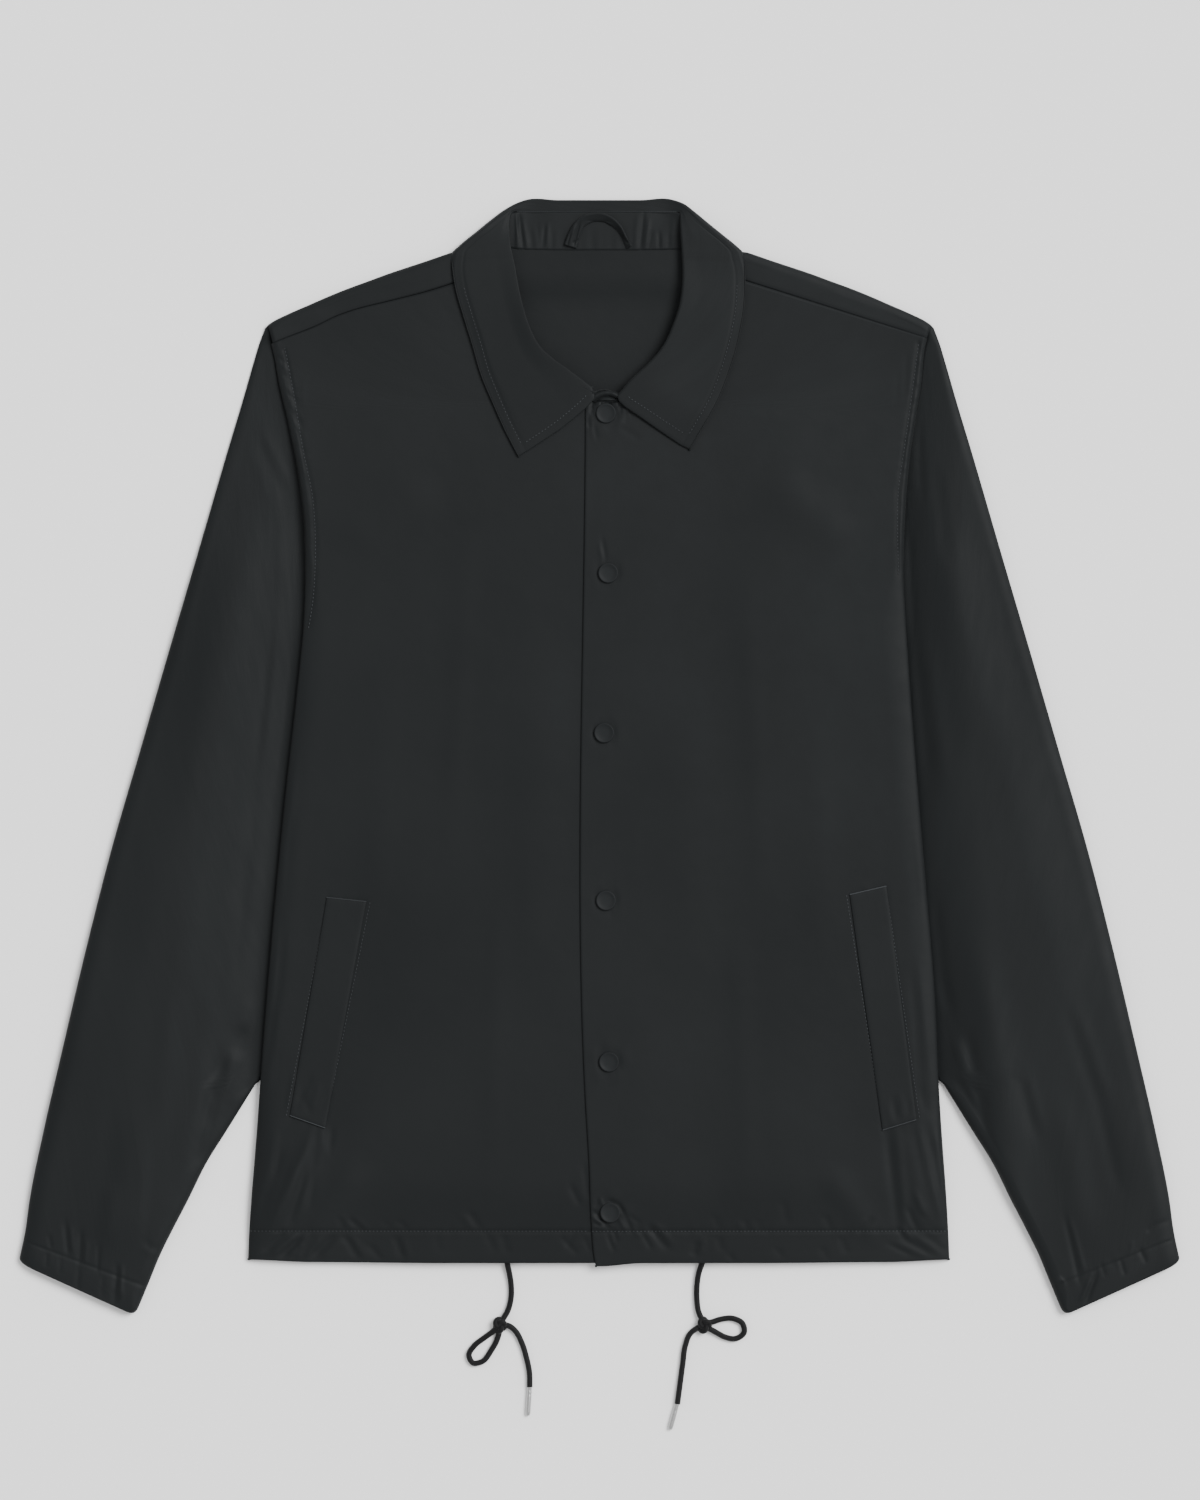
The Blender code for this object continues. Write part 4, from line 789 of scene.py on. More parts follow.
SLEEVE_CREASES = seen(
    (243, 1028, 238, 1056, 5, -1.3), (224, 1054, 206, 1120, 4.6, -1.5), (210, 1110, 196, 1168, 4.2, -1.2),
    (236, 1050, 222, 1090, 4, 0.9), (214, 1096, 202, 1150, 2.4, 0.6), (252, 1000, 244, 1030, 4, 0.6),
    (262, 780, 236, 960, 7, -0.9), (240, 900, 228, 1020, 6, 0.5), (270, 640, 258, 760, 4, -0.6),
    (258, 438, 282, 492, 3.2, -0.3), (266, 436, 290, 486, 3, 0.25), (250, 450, 272, 506, 3.6, 0.2),
    (170, 1000, 160, 1130, 8, 0.4), (120, 1040, 104, 1190, 8, -0.3), (146, 1150, 138, 1240, 5, 0.4),
    (114, 1185, 108, 1240, 6, 0.5), (66, 1220, 69, 1254, 1.8, -0.7), (72, 1226, 74, 1252, 1.6, 0.4),
    (82, 1230, 80, 1264, 1.8, -0.7), (88, 1240, 86, 1262, 1.5, 0.4), (100, 1243, 98, 1272, 1.6, -0.6),
    (50, 1234, 52, 1248, 1.4, -0.5), (118, 1264, 115, 1302, 1.8, -0.9), (123, 1266, 121, 1300, 1.5, 0.6),
    (80, 1266, 78, 1290, 1.7, -0.5), (145, 1240, 158, 1251, 1.8, -0.3), (142, 1246, 156, 1258, 1.5, 0.15),
    (134, 1284, 150, 1268, 1.6, -0.4), (48, 1252, 47, 1266, 1.4, -0.4), (104, 1276, 102, 1296, 1.6, -0.35),
    (62, 1256, 60, 1274, 1.5, -0.3), (966, 1032, 984, 1120, 4, -1.3), (956, 1078, 976, 1112, 3.6, -0.9),
    (958, 1040, 968, 1080, 3.6, 0.8), (978, 1110, 1000, 1170, 3.4, -0.8), (944, 980, 956, 1050, 4, -0.8),
    (934, 900, 944, 1000, 4, -0.8), (948, 1010, 958, 1060, 3, 0.6), (1066, 1010, 1100, 1110, 5, -0.5),
    (1098, 1104, 1118, 1190, 5, -0.6), (1076, 1010, 1108, 1100, 5, 0.4), (1016, 1064, 1034, 1136, 4, -0.5),
    (1024, 1064, 1042, 1130, 4, 0.35), (1134, 1080, 1150, 1124, 3.4, -0.5), (1004, 1150, 1030, 1230, 6, 0.4),
    (1064, 1216, 1079, 1282, 1.8, -0.7), (1070, 1220, 1085, 1276, 1.5, 0.4),
    (1050, 1278, 1062, 1286, 1.3, -0.9), (1053, 1274, 1064, 1281, 1.1, 0.7),
    (1056, 1288, 1064, 1292, 1.2, -0.7), (1085, 1302, 1096, 1272, 1.8, -0.8),
    (1080, 1300, 1090, 1276, 1.5, 0.5), (1119, 1258, 1124, 1274, 1.5, -0.6),
    (1139, 1248, 1145, 1262, 1.5, -0.5), (1146, 1231, 1156, 1222, 1.8, -0.5), (1164, 1222, 1172, 1244, 2, -0.7),
    (1160, 1226, 1167, 1246, 1.6, 0.5), (1100, 1262, 1104, 1276, 1.4, -0.4),
    (1132, 1240, 1128, 1256, 1.4, 0.35), (936, 470, 946, 560, 5, -0.5), (918, 420, 922, 500, 3, -0.5),
    (908, 530, 912, 640, 4, -0.8), (916, 650, 930, 780, 5, -0.7), (926, 640, 944, 780, 6, 0.5),
    (297, 430, 306, 530, 6, -0.9), (305, 510, 310, 620, 6, -1.1), (309, 610, 303, 690, 5, -0.6),
    (294, 640, 280, 780, 4.5, -0.6),
)
print("folds of the sleeves:", len(SLEEVE_FOLDS) + len(SLEEVE_CREASES))

# %% Plan of a sleeve's rings
SEAM_INSET = 1.2
CUFF_STITCH = {RIGHT: ((-399.6, -339.0), (-318.0, -369.6)), LEFT: ((399.9, -337.0), (318.6, -369.4))}


def sleeve_inner(side, y):
    """How far out a sleeve's inner edge lies: under the body's side, then along its own line."""
    return np.where(y > TUCK_Y[0], side_line(side, y) - curve(y, TUCK_Y, TUCK),
                    curve(y, SLEEVE_INNER_Y, SLEEVE_INNER_OUT))


def ring_plan(side, rings, part):
    """Plan of all rings. part goes from -1 at the inner edge to 0 at the body's edge to 1 outside.

    Each place is a mix of the armhole's line and a straight section, by the ring's share.
    """
    share, outer_y, inner_y = (rings[:, k, None] for k in range(3))
    outer = np.stack((curve(outer_y, SLEEVE_OUTER_Y, SLEEVE_OUTER_OUT), outer_y), -1)
    inner = np.stack((sleeve_inner(side, inner_y), inner_y), -1)
    tucked = np.maximum(0.12, (side_line(side, inner_y) - inner[..., 0]) / (outer[..., 0] - inner[..., 0]))
    corner = np.array((side_line(side, UNDERARM_Y) - SEAM_INSET, UNDERARM_Y))
    start = np.array((float(sleeve_inner(side, 122.0)), 122.0))

    def mixed(where):
        along = np.where(where < 0, tucked * (where + 1.0), tucked + (1.0 - tucked) * where)
        straight = inner + (outer - inner) * along[..., None]
        y = UNDERARM_Y + where * (ARMHOLE_TOP_Y - UNDERARM_Y)
        seam = np.stack((side_line(side, y) - SEAM_INSET, y), -1)
        hidden = start + (corner - start) * (where + 1.0)[..., None]
        armhole = np.where((where < 0)[..., None], hidden, seam)
        return armhole * share[..., None] + straight * (1.0 - share[..., None])

    spot, end = mixed(part), mixed(np.ones_like(share))
    bulge = curve(end[..., 1], SLEEVE_OUTER_Y, SLEEVE_OUTER_OUT) - end[..., 0]
    head = np.where((share > 0) & (share < 1), 1.0, 0.0)
    spot[..., 0] += head * bulge * ease((part - 0.4) / 0.6)
    return spot


# %% Height of a sleeve
def sleeve_top(side, x, y, crown):
    """Height of a sleeve's top: low beside the body, rising to its crown, with folds and noise."""
    out = np.abs(x)
    away = out - side_line(side, y)
    low = TUCK_HEIGHT - 1.2 * ease((y - UNDERARM_Y) / 40.0) + 3.0 * ease((y - 290.0) / 11.0)
    if side == RIGHT:
        crown = crown - 3.6 * ease((y - 70.0) / 120.0)
        slope = 60.0 - 26.0 * ease((y - 200.0) / 80.0)
        rise = 0.3 * ease((away - 5.0) / 14.0) + 0.7 * ease((away - 8.0) / slope)
    else:
        rise = 1.0 - (1.0 - np.clip(away / 42.0, 0.0, 1.0)) ** 2
    outside = curve(np.clip(y, -353.0, 303.0), SLEEVE_OUTER_Y, SLEEVE_OUTER_OUT) - out
    crown = crown - 2.6 * (1.0 - ease(outside / 46.0)) * ease((y + 300.0) / 80.0)
    height = low + (crown - low + creases(SLEEVE_FOLDS, x, y)) * rise
    small = creases(SLEEVE_CREASES, x, y)
    lean = out + 0.21 * y
    small = small + 0.40 * noise(lean, y, 40.0, 130.0, 11) + 0.07 * noise(lean, y, 16.0, 70.0, 12)
    cuff = np.array(CUFF_STITCH[side], dtype=float)
    small = small + gathered(cuff, x, y, 4.5, 0.22, 3.0 + side, 0.4)
    seam_y = np.linspace(128, 300, 12)
    armhole = np.column_stack((side * side_line(side, seam_y), seam_y))
    small = small + gathered(armhole, x, y, 7.0, 0.35, 8.0 + side, 0.3) * ease((y - 120.0) / 20.0)
    return height + small * ease((away + 2.0) / 10.0)


# %% A sleeve from its rings
# from ring FINE_FROM to the cuff the rows lie closer together
FINE_FROM, LAST_RING, OUTER_REACH = 16, 21, 5.0


def sleeve_grid(side):
    """Rings from armhole to cuff: underside, outer fold, top and inner fold, as closed rows of points."""
    number = np.concatenate((np.linspace(0, FINE_FROM, 125)[:-1], np.linspace(FINE_FROM, LAST_RING, 66)))
    rings = columns_at(number, range(LAST_RING + 1), SLEEVE_RINGS)
    rings[:, 0] = np.interp(number, range(LAST_RING + 1), SLEEVE_RINGS[:, 0])
    rings[:, 1:3][number < 6] = SLEEVE_RINGS[6, 1:3]
    crown = rings[:, 3]
    ends = ring_plan(side, rings, np.broadcast_to(np.array((-1.0, 0.0, 1.0)), (len(rings), 3)))
    tucked = np.linalg.norm(ends[:, 1] - ends[:, 0], axis=1)
    length = np.linalg.norm(ends[:, 2] - ends[:, 1], axis=1)
    inner_reach = 2.4 + 5.6 * ease((TUCK_Y[0] - rings[:, 2]) / 14.0) - 4.6 * ease((number - 19.6) / 1.2)
    outer_reach = OUTER_REACH + 7.0 * ease(number / 3.0)
    first = inner_reach / tucked - 1.0
    step = np.linspace(0.0, 1.0, 30)[None]
    low = first[:, None] + (1.0 - OUTER_REACH / length - first)[:, None] * step
    bend = np.radians(np.linspace(0.0, 180.0, 15)[1:-1])[None]
    reach = np.where(bend < math.pi / 2, OUTER_REACH, outer_reach[:, None])
    outer = 1.0 - reach / length[:, None] * (1.0 - np.sin(bend))
    last = 1.0 - outer_reach / length
    step = np.linspace(0.0, 1.0, 88)[None]
    top = last[:, None] + (first - last)[:, None] * step
    back_bend = np.radians(np.linspace(180.0, 0.0, 9)[1:-1])[None]
    inner = (inner_reach / tucked)[:, None] * (1.0 - np.sin(back_bend)) - 1.0
    part = np.concatenate((low, outer, top, inner), axis=1)
    plan = ring_plan(side, rings, part)
    round_off = OUTER_REACH * (1.0 - np.sqrt(1.0 - np.clip((number - 20.5) / 0.5, 0.0, 0.999) ** 2))
    middle = plan.mean(axis=1, keepdims=True)
    plan = middle + (plan - middle) * (1.0 - 2.0 * round_off / (length + tucked))[:, None, None]
    plan[..., 0] *= side
    on_top = plan[:, low.shape[1] + outer.shape[1]:-inner.shape[1]]
    height = sleeve_top(side, on_top[..., 0], on_top[..., 1], crown[:, None])
    level = np.concatenate((np.zeros_like(low), height[:, :1] / 2.0 * (1.0 - np.cos(bend)), height,
                            height[:, -1:] / 2.0 * (1.0 - np.cos(back_bend))), axis=1)
    return raised(plan, level)


sleeve_pieces = {}
for side, name in SIDES:
    sleeve_pieces[side] = cloth("sleeve_" + name, sleeve_grid(side), closed=True, flip=side == LEFT)

# %% [markdown]
# ## The back
# The back is one panel. It lies flat, wraps over the shoulders to a seam a little in front of them, and
# shows through the neck. It is made of columns: each one runs up the underside, round the shoulder fold
# and down to the seam. Beside the neck the edge climbs round the fold.

# %% Lines of the back
SHOULDER_SEAM = ((86, 338.3), (228.6, 293.2))
SHOULDER_FOLD_OUT = (60, 86, 105, 120, 134, 148, 161, 175, 189, 203, 217, 229, 233.5)
SHOULDER_FOLD_Y = (367.6, 359, 352.7, 347.6, 343, 338.3, 333.5, 328.4, 322.8, 316.7, 310.6, 304.6, 301.4)


def line_y(line, out):
    """Height of a straight line between two (out, y) points."""
    (out1, y1), (out2, y2) = line
    return y1 + (out - out1) * (y2 - y1) / (out2 - out1)


def back_underside(side, x, y):
    """How far the body's underside is held up by the sleeve or the collar beneath it."""
    out = np.abs(x)
    beside = ease((out - side_line(side, y) + 38.0) / 12.0) * beside_sleeve(y)
    collar = ease((y - 320.0) / 13.0) * ease((126.0 - out) / 14.0)
    return np.maximum(SIDE_LIFT * beside, 2.0 * collar)


# %% Columns of the back
BACK_HEM_Y, BACK_OUT, BEND_REACH = -351.0, 232, 6.0
SEAM_GAP = {RIGHT: 0.4, LEFT: 0.15}


def back_half(side):
    """Half of the back as columns from the middle out: underside, arc over the fold, run to the seam."""
    out = np.concatenate((np.linspace(0, 70, 22), np.linspace(72.5, 88, 14), np.linspace(91, BACK_OUT, 48)))
    out = out[:, None]

    def at(y):
        edge = side_line(side, y) - 0.25 - 8.5 * ease((side_roll(y) - 0.75) / 0.25)
        return out * edge / BACK_OUT

    fold, seam = 345.0 + 0.0 * out, 300.0 + 0.0 * out
    for _ in range(3):
        where = at(fold)
        fold = curve(where, SHOULDER_FOLD_OUT, SHOULDER_FOLD_Y) - 1.6 * ease((104.0 - where) / 8.0)
        seam = line_y(SHOULDER_SEAM, at(seam)) + SEAM_GAP[side] + shoulder_bend(side, at(seam))
    neck = np.interp(out, (35, 64, 72), (355.6, 356.6, 357.6))
    over = ease((out - 72.0) / 12.4)
    reach = np.where(out > 86, np.minimum(BEND_REACH, (fold - seam) * 0.6), BEND_REACH)
    bend_start = np.where(out > 72, fold - reach, neck - 0.6)
    share = np.linspace(0.0, 1.0, 96)[None]
    y_flat = BACK_HEM_Y + (bend_start - BACK_HEM_Y) * share
    flat = np.stack((side * at(y_flat), y_flat, back_underside(side, at(y_flat), y_flat)), -1)
    low = back_underside(side, at(bend_start), 345.0 + 0.0 * out)
    top = front_height(side * at(seam), seam)
    turn = over * math.pi * np.linspace(0.0, 1.0, 15)[None, 1:]
    y_turn = np.where(out > 72, bend_start + reach * np.sin(turn), neck - 0.5)
    z_turn = low + (top - low) / 2.0 * (1.0 - np.cos(turn))
    spread = 0.03 * np.arange(1, 15)[None] * (1.0 - over)
    arc = np.stack((side * at(y_turn + spread), y_turn + spread, z_turn), -1)
    goal = np.where(out >= 86, seam, arc[:, -1:, 1] - 0.4 - 9.0 * ease((out - 84.0) / 2.0))
    share = np.linspace(0.0, 1.0, 13)[None, 1:]
    y_top = arc[:, -1:, 1] + (goal - arc[:, -1:, 1]) * share * np.where(out > 80, 1.0, 0.05)
    relief = 0.30 * noise(side * at(y_top), y_top, 30.0, 12.0, 21) * over
    arc_end = arc[:, -1:, 2]
    landed = np.where(out >= 86, front_height(side * at(y_top), y_top), arc_end)
    z_top = arc_end + (landed - arc_end) * share
    z_top = z_top + relief - 0.35 * np.exp(-((y_top - seam) / 1.2) ** 2) * over
    top_run = np.stack((side * at(y_top), y_top, z_top), -1)
    return np.concatenate((flat, arc, top_run), axis=1)


halves = [back_half(RIGHT)[::-1], back_half(LEFT)[1:]]
back_grid = np.concatenate(halves, axis=0).transpose(1, 0, 2)
back_piece = cloth("back", back_grid)

# %% [markdown]
# ## The collar
# A collar on a stand is two pieces. The stand rises from the neck seam, and the leaf turns down from the
# stand's upper edge, along the roll. On the fronts the leaf lies on top with its points free. Behind the
# neck the leaf folds under, so from above only the stand and the thin roll show.

# %% Tables of the collar
# Plan of the leaf's sections: where each starts on the roll (out, y) and its outer fold (out, y)
LEAF_PLAN = {
    RIGHT: ((0, 380.8, 0, 390.1), (30, 380.8, 29, 390.1), (54, 380.9, 52.5, 390), (59.4, 381.2, 59.2, 387.4),
            (61.2, 380, 66.5, 383.2), (62.4, 375, 75.6, 376.4), (62.9, 367.5, 86.5, 367.5),
            (62.7, 362.5, 95.6, 360.2), (62.2, 359.4, 99.4, 356.8), (61.8, 356.6, 102.2, 354.2),
            (61.3, 354, 103.4, 352.4), (60.8, 351.6, 103.8, 350.4), (60.2, 349, 103.5, 347.4),
            (59.4, 345.6, 103, 342.6), (57.3, 333.6, 100.8, 328), (53.9, 317.4, 95.3, 308.6),
            (48.3, 299.8, 88.9, 287.8), (41.8, 287.6, 82.8, 267), (32, 278.4, 74, 246), (21, 270.6, 66.4, 229),
            (5.7, 259, 57.1, 210.9)),
    LEFT: ((0, 380.8, 0, 390.1), (30, 380.8, 29, 390.1), (52, 380.9, 52.5, 390), (55.4, 381.2, 59.2, 387.4),
           (56.2, 379.6, 66.5, 381.9), (56.4, 374, 75.6, 374.3), (56.5, 367, 86.5, 365.4),
           (56.8, 361.5, 94.2, 359.2), (57, 358.4, 97.6, 356.2), (57.2, 355.6, 100, 353.8),
           (57.3, 353, 101, 351.6), (57.4, 350.6, 101.4, 349.4), (57.5, 348, 101.6, 346.4),
           (57.7, 344.6, 101.8, 341.6), (57.8, 334, 102, 330), (56.2, 318.6, 101, 313),
           (51.6, 303.4, 97.2, 292), (43.8, 287, 90.4, 268.4), (32.8, 274.2, 82, 247.6),
           (22.5, 264.8, 73.4, 232.4), (12.8, 253.6, 63.5, 215.7)),
}
# Heights of start and fold, how far the fold turns in degrees, and where it ends underneath (out, y)
LEAF_RISE = (
    (2.7, 2.9, 180, 0, 349), (2.7, 2.9, 180, 30, 349), (2.8, 3.1, 180, 50, 348.7), (3.6, 4.2, 180, 56, 348.5),
    (5.2, 6.2, 180, 63, 348.3), (7.2, 8.2, 180, 73, 348), (8.8, 9.6, 180, 83, 350), (9.4, 9.8, 180, 92, 353),
    (9.6, 9.8, 180, 95, 356), (9.8, 9.8, 165, 99, 356), (10, 9.8, 125, 101, 354), (10.1, 9.8, 85, 0, 0),
    (10.2, 9.7, 55, 0, 0), (10.5, 9.7, 35, 0, 0), (11.3, 9.6, 25, 0, 0), (12.1, 9.6, 25, 0, 0),
    (12.4, 9.6, 25, 0, 0), (12.3, 9.8, 25, 0, 0), (12.2, 10.4, 25, 0, 0), (12.1, 11.2, 25, 0, 0),
    (11.9, 11.9, 25, 0, 0))
# How far the leaf's front edge bows out past a straight line, against the share of its length
LEAF_BOW = {RIGHT: ((0, 0.05, 0.19, 0.34, 0.51, 0.86, 1), (0, 7.0, 7.6, 7.1, 6.2, 2.1, 0)),
            LEFT: ((0, 0.05, 0.14, 0.34, 0.61, 0.88, 1), (0, 2.5, 3.3, 2.7, 2.2, 1.4, 0))}
STAND_LOWER = ((0, 354.7, 2.6), (30, 354.7, 2.6), (60, 355.8, 2.6), (65, 356.6, 2.6), (72, 358.0, 2.8),
               (78.4, 361.6, 5.2), (82.9, 351.6, 7.2), (86, 338.3, 7.4), (85, 324, 7.4), (80, 308, 7.6),
               (72, 290, 7.7), (60, 273, 7.7), (46, 260.5, 7.8), (28, 251.5, 8.2))
STAND_AT_LEAF = (0, 1, 2, 4, 5, 6, 9, 12.6, 14, 15, 16, 17, 18, 19)
STAND_END = {RIGHT: ((2, 249.9, 8.0, 5.7, 256.4, 9.6), (-17, 248.8, 8.0, -12, 254.4, 8.8)),
             LEFT: ((9, 249.6, 8.0, 12.6, 254.6, 9.6), (0.5, 249.2, 8.0, 4, 257.4, 9.9),
                    (-8, 248.8, 8.0, -4.6, 255.4, 9.7))}


def leaf_table(side):
    """Start (out, y, height), fold (out, y), its height, turn and end (out, y) of each section."""
    plan, rise = np.array(LEAF_PLAN[side], dtype=float), np.array(LEAF_RISE, dtype=float)
    return np.column_stack((plan[:, :2], rise[:, 0], plan[:, 2:], rise[:, 1:]))


def finer(table, times):
    """A table with more rows: each column read as a smooth curve over the rows' running length."""
    places = run_along(table[:, :5])
    at = np.interp(np.linspace(0, len(table) - 1, times * (len(table) - 1) + 1), range(len(table)), places)
    return columns_at(at, places, table)


print("sections of the leaf's halves:", len(LEAF_RISE), "and of the stand's:", len(STAND_LOWER))

# %% The stand
STAND_PLEATS = seen(
    (516, 214, 518, 250, 1.0, 0.55), (519, 214, 524, 250, 1.1, -0.83), (523, 222, 527, 250, 1.2, 0.5),
    (545, 226, 543, 247, 1.0, -0.55), (548, 224, 547, 247, 1.0, 0.39), (537, 224, 540, 250, 1.2, -0.22),
    (530, 228, 533, 250, 1.4, -0.22), (553, 232, 552, 250, 1.2, -0.22), (638, 214, 634, 249, 1.4, 0.28),
    (644, 214, 640, 249, 1.1, -0.77), (649, 220, 645, 249, 1.2, 0.5), (652, 232, 648, 250, 1.0, -0.44),
    (659, 232, 659, 249, 1.0, -0.66), (663, 236, 662, 250, 1.0, 0.22), (669, 234, 668, 250, 1.1, -0.28),
    (673, 218, 672, 250, 1.6, 0.22), (634, 236, 632, 250, 1.0, -0.22), (566, 238, 564, 250, 1.0, -0.17),
)


def stand_grid():
    """The stand from one front end round the back to the other, straight from lower to upper edge."""
    rows = []
    for side in (RIGHT, LEFT):
        leaf = leaf_table(side)[:, :3]
        upper = columns_at(STAND_AT_LEAF, range(len(leaf)), leaf, np.interp)
        upper -= np.outer(ease((np.arange(14) - 2.0) / 2.0), (-0.9, 1.4, 1.9))
        upper += (0.0, 1.0, -0.2)
        pairs = np.concatenate((np.column_stack((upper, STAND_LOWER)),
                                np.array(STAND_END[side], dtype=float)[:, (3, 4, 5, 0, 1, 2)]))
        pairs = finer(pairs, 26)[:, (3, 4, 5, 0, 1, 2)]
        pairs[:, (0, 3)] *= side
        rows.append(pairs[::-1] if side == RIGHT else pairs[1:])
    pairs = np.concatenate(rows)
    low, high = pairs[:, :3], pairs[:, 3:]
    low = low + unit(high - low) * 0.3
    share = np.linspace(0.0, 1.0, 19)[None, :, None]
    grid = low[:, None] + (high - low)[:, None] * share
    x, y = grid[..., 0], grid[..., 1]
    grid[..., 2] += overlap_lift(LEFT, x) * ease((330.0 - y) / 60.0) * ease((x + 18.0) / 8.0)
    back = ease((y - 345.0) / 8.0)
    waves = 0.16 * ripple(x, 1.3) * ease((375.0 - y) / 16.0)
    front = ease((285.0 - y) / 20.0) * 0.3 * ripple(x * 1.6 + y * 0.6, 6.0) * share[..., 0]
    grid[..., 2] += back * (creases(STAND_PLEATS, x, y) + waves) + front + 0.35 + snap_arcs(x, y)
    return grid


stand_piece = cloth("collar_stand", stand_grid())


# %% The leaf
ROLL_COLUMNS, LEAF_COLUMNS = 8, 56


def leaf_half(side):
    """Sections of the leaf: a rounded roll, a flat run, an arc round the fold and a run underneath."""
    table = finer(leaf_table(side), 8)
    start, fold, top, tip = table[:, :3], table[:, 3:5], table[:, 5], table[:, 7:9]
    angle = np.radians(table[:, 6])
    if side == LEFT:
        top = top + 2.2 * ease((345.0 - start[:, 1]) / 40.0) * ease((start[:, 1] - 250.0) / 20.0)
    angle = np.clip(angle, math.radians(25.0), math.pi)
    low = (top - 8.0) * ease((180.0 - np.degrees(angle)) / 110.0)
    span = np.linalg.norm(fold - start[:, :2], axis=1)
    way = (fold - start[:, :2]) / span[:, None]
    reach = np.minimum(1.1 + 2.9 * ease((fold[:, 0] - 50.0) / 30.0), 0.5 * span)
    centre = arc_start(fold, way, angle, reach)
    round_size = np.minimum(1.7, 0.25 * span) * (0.15 + 0.85 * ease((start[:, 0] - 52.0) / 7.0))
    round_size = np.where(start[:, 1] < 370.0, 1.7 if side == LEFT else 0.6, round_size)
    bend = np.radians(np.linspace(-115.0, 0.0, ROLL_COLUMNS + 1)[:-1])[None]
    roll_plan = start[:, None, :2] + way[:, None] * (round_size[:, None] * (1.0 + np.sin(bend)))[..., None]
    roll_z = start[:, 2:3] - round_size[:, None] * (1.0 - np.cos(bend))
    share = np.linspace(0.0, 1.0, LEAF_COLUMNS)[None]
    first = start[:, :2] + way * round_size[:, None]
    plan = first[:, None] + (centre - first)[:, None] * share[..., None]
    fall = 0.35 * share + 0.35 * ease(share / 0.3) + 0.3 * ease((share - 0.8) / 0.2)
    level = start[:, 2:3] + (top[:, None] - start[:, 2:3]) * fall
    seam = span[:, None] * (1.0 - share)
    level = level - 0.2 * np.exp(-((seam - 5.6) / 0.8) ** 2) * ease((380.0 - first[:, 1:2]) / 14.0)
    turn = angle[:, None] * np.linspace(0.0, 1.0, 15)[None, 1:]
    arc_plan, arc_z = fold_arc(fold, way, turn, reach, top, low)
    last = arc_plan[:, -1]
    goal = np.where((np.degrees(angle) > 178.0)[:, None], tip, last - way * 0.5)
    run = last[:, None] + (goal - last)[:, None] * np.linspace(0.0, 1.0, 9)[None, 1:, None]
    run_z = np.broadcast_to(arc_z[:, -1:], run.shape[:2])
    x_y = np.concatenate((roll_plan, plan, arc_plan, run), axis=1)
    grid = raised(x_y, np.concatenate((roll_z, level, arc_z, run_z), axis=1))
    near_end = ease((np.arange(len(table)) - len(table) + 15.0) / 14.0)[:, None]
    share = ((x_y - start[:, None, :2]) * way[:, None]).sum(axis=2) / span[:, None]
    bow = near_end * np.interp(share, *LEAF_BOW[side])
    grid[..., :2] += bow[..., None] * (way[-1, 1], -way[-1, 0])
    grid[..., 0] *= side
    if side == LEFT:
        grid[..., 2] += overlap_lift(LEFT, grid[..., 0]) * ease((330.0 - grid[..., 1]) / 60.0)
    on_front = ease((345.0 - grid[..., 1]) / 20.0)
    grid[..., 2] += on_front * (0.22 * noise(grid[..., 0], grid[..., 1], 40.0, 50.0, 31 + side))
    return grid


leaf_grid = np.concatenate((leaf_half(RIGHT)[::-1], leaf_half(LEFT)[1:]))
leaf_grid[..., 2] = np.maximum(leaf_grid[..., 2], FLOOR_GAP)
leaf_piece = cloth("collar_leaf", turned(leaf_grid, 0.8, ("first", "last")), wall=LEAF_WALL)


# %% The hanger loop
LOOP_CREASES = seen(
    (580, 222, 574, 246, 0.9, -0.8), (575, 226, 569, 246, 0.9, 0.6), (571, 234, 567, 247, 0.8, -0.6),
    (573, 243, 579, 240, 0.8, -0.8), (588, 221, 612, 222, 0.8, -0.5), (622, 236, 630, 245, 0.8, -0.7),
    (626, 243, 635, 241, 0.8, -0.8), (583, 216, 592, 213, 0.9, 0.4),
)


def loop_grid():
    """A flat tape on an arch, from its wide left foot to the right one, where it stands nearly on edge."""
    route = ((-20.4, 357.4), (-17.6, 366.0), (-13.2, 373.4), (-6.6, 377.2), (1.0, 378.0),
             (8.0, 375.2), (13.6, 370.2), (17.4, 363.4), (20.6, 356.6))
    places = np.linspace(0, 8, 110)
    line = columns_at(places, range(9), route)
    way = unit(np.gradient(line, axis=0))
    across = np.column_stack((-way[:, 1], way[:, 0]))
    share = np.linspace(-1.0, 1.0, 15)[None]
    half = curve(places, range(9), (3.6, 3.1, 2.6, 2.3, 2.2, 2.1, 2.0, 1.9, 2.2))
    tilt = np.radians(curve(places, range(9), (4, 8, 14, 22, 26, 34, 48, 56, 40)))
    plan = line[:, None] + across[:, None] * (share * (half * np.cos(tilt))[:, None])[..., None]
    level = 4.4 + 0.9 * np.sin(math.pi * places / 8.0)[:, None] + share * (half * np.sin(tilt))[:, None]
    return raised(plan, level + creases(LOOP_CREASES, plan[..., 0], plan[..., 1]))


loop_piece = cloth("hanger_loop", turned(loop_grid(), 0.45, ("start", "end")), wall=THIN_WALL, flip=True)

# %% [markdown]
# ## Welts and snaps
# A welt is a stiff folded strip sewn over the pocket's mouth. It follows the front under it, a little
# higher. A snap's cap is a low lacquered dome with a rolled rim, so it is a profile turned round.


# %% The two welts
WELT_LIFT = 0.95


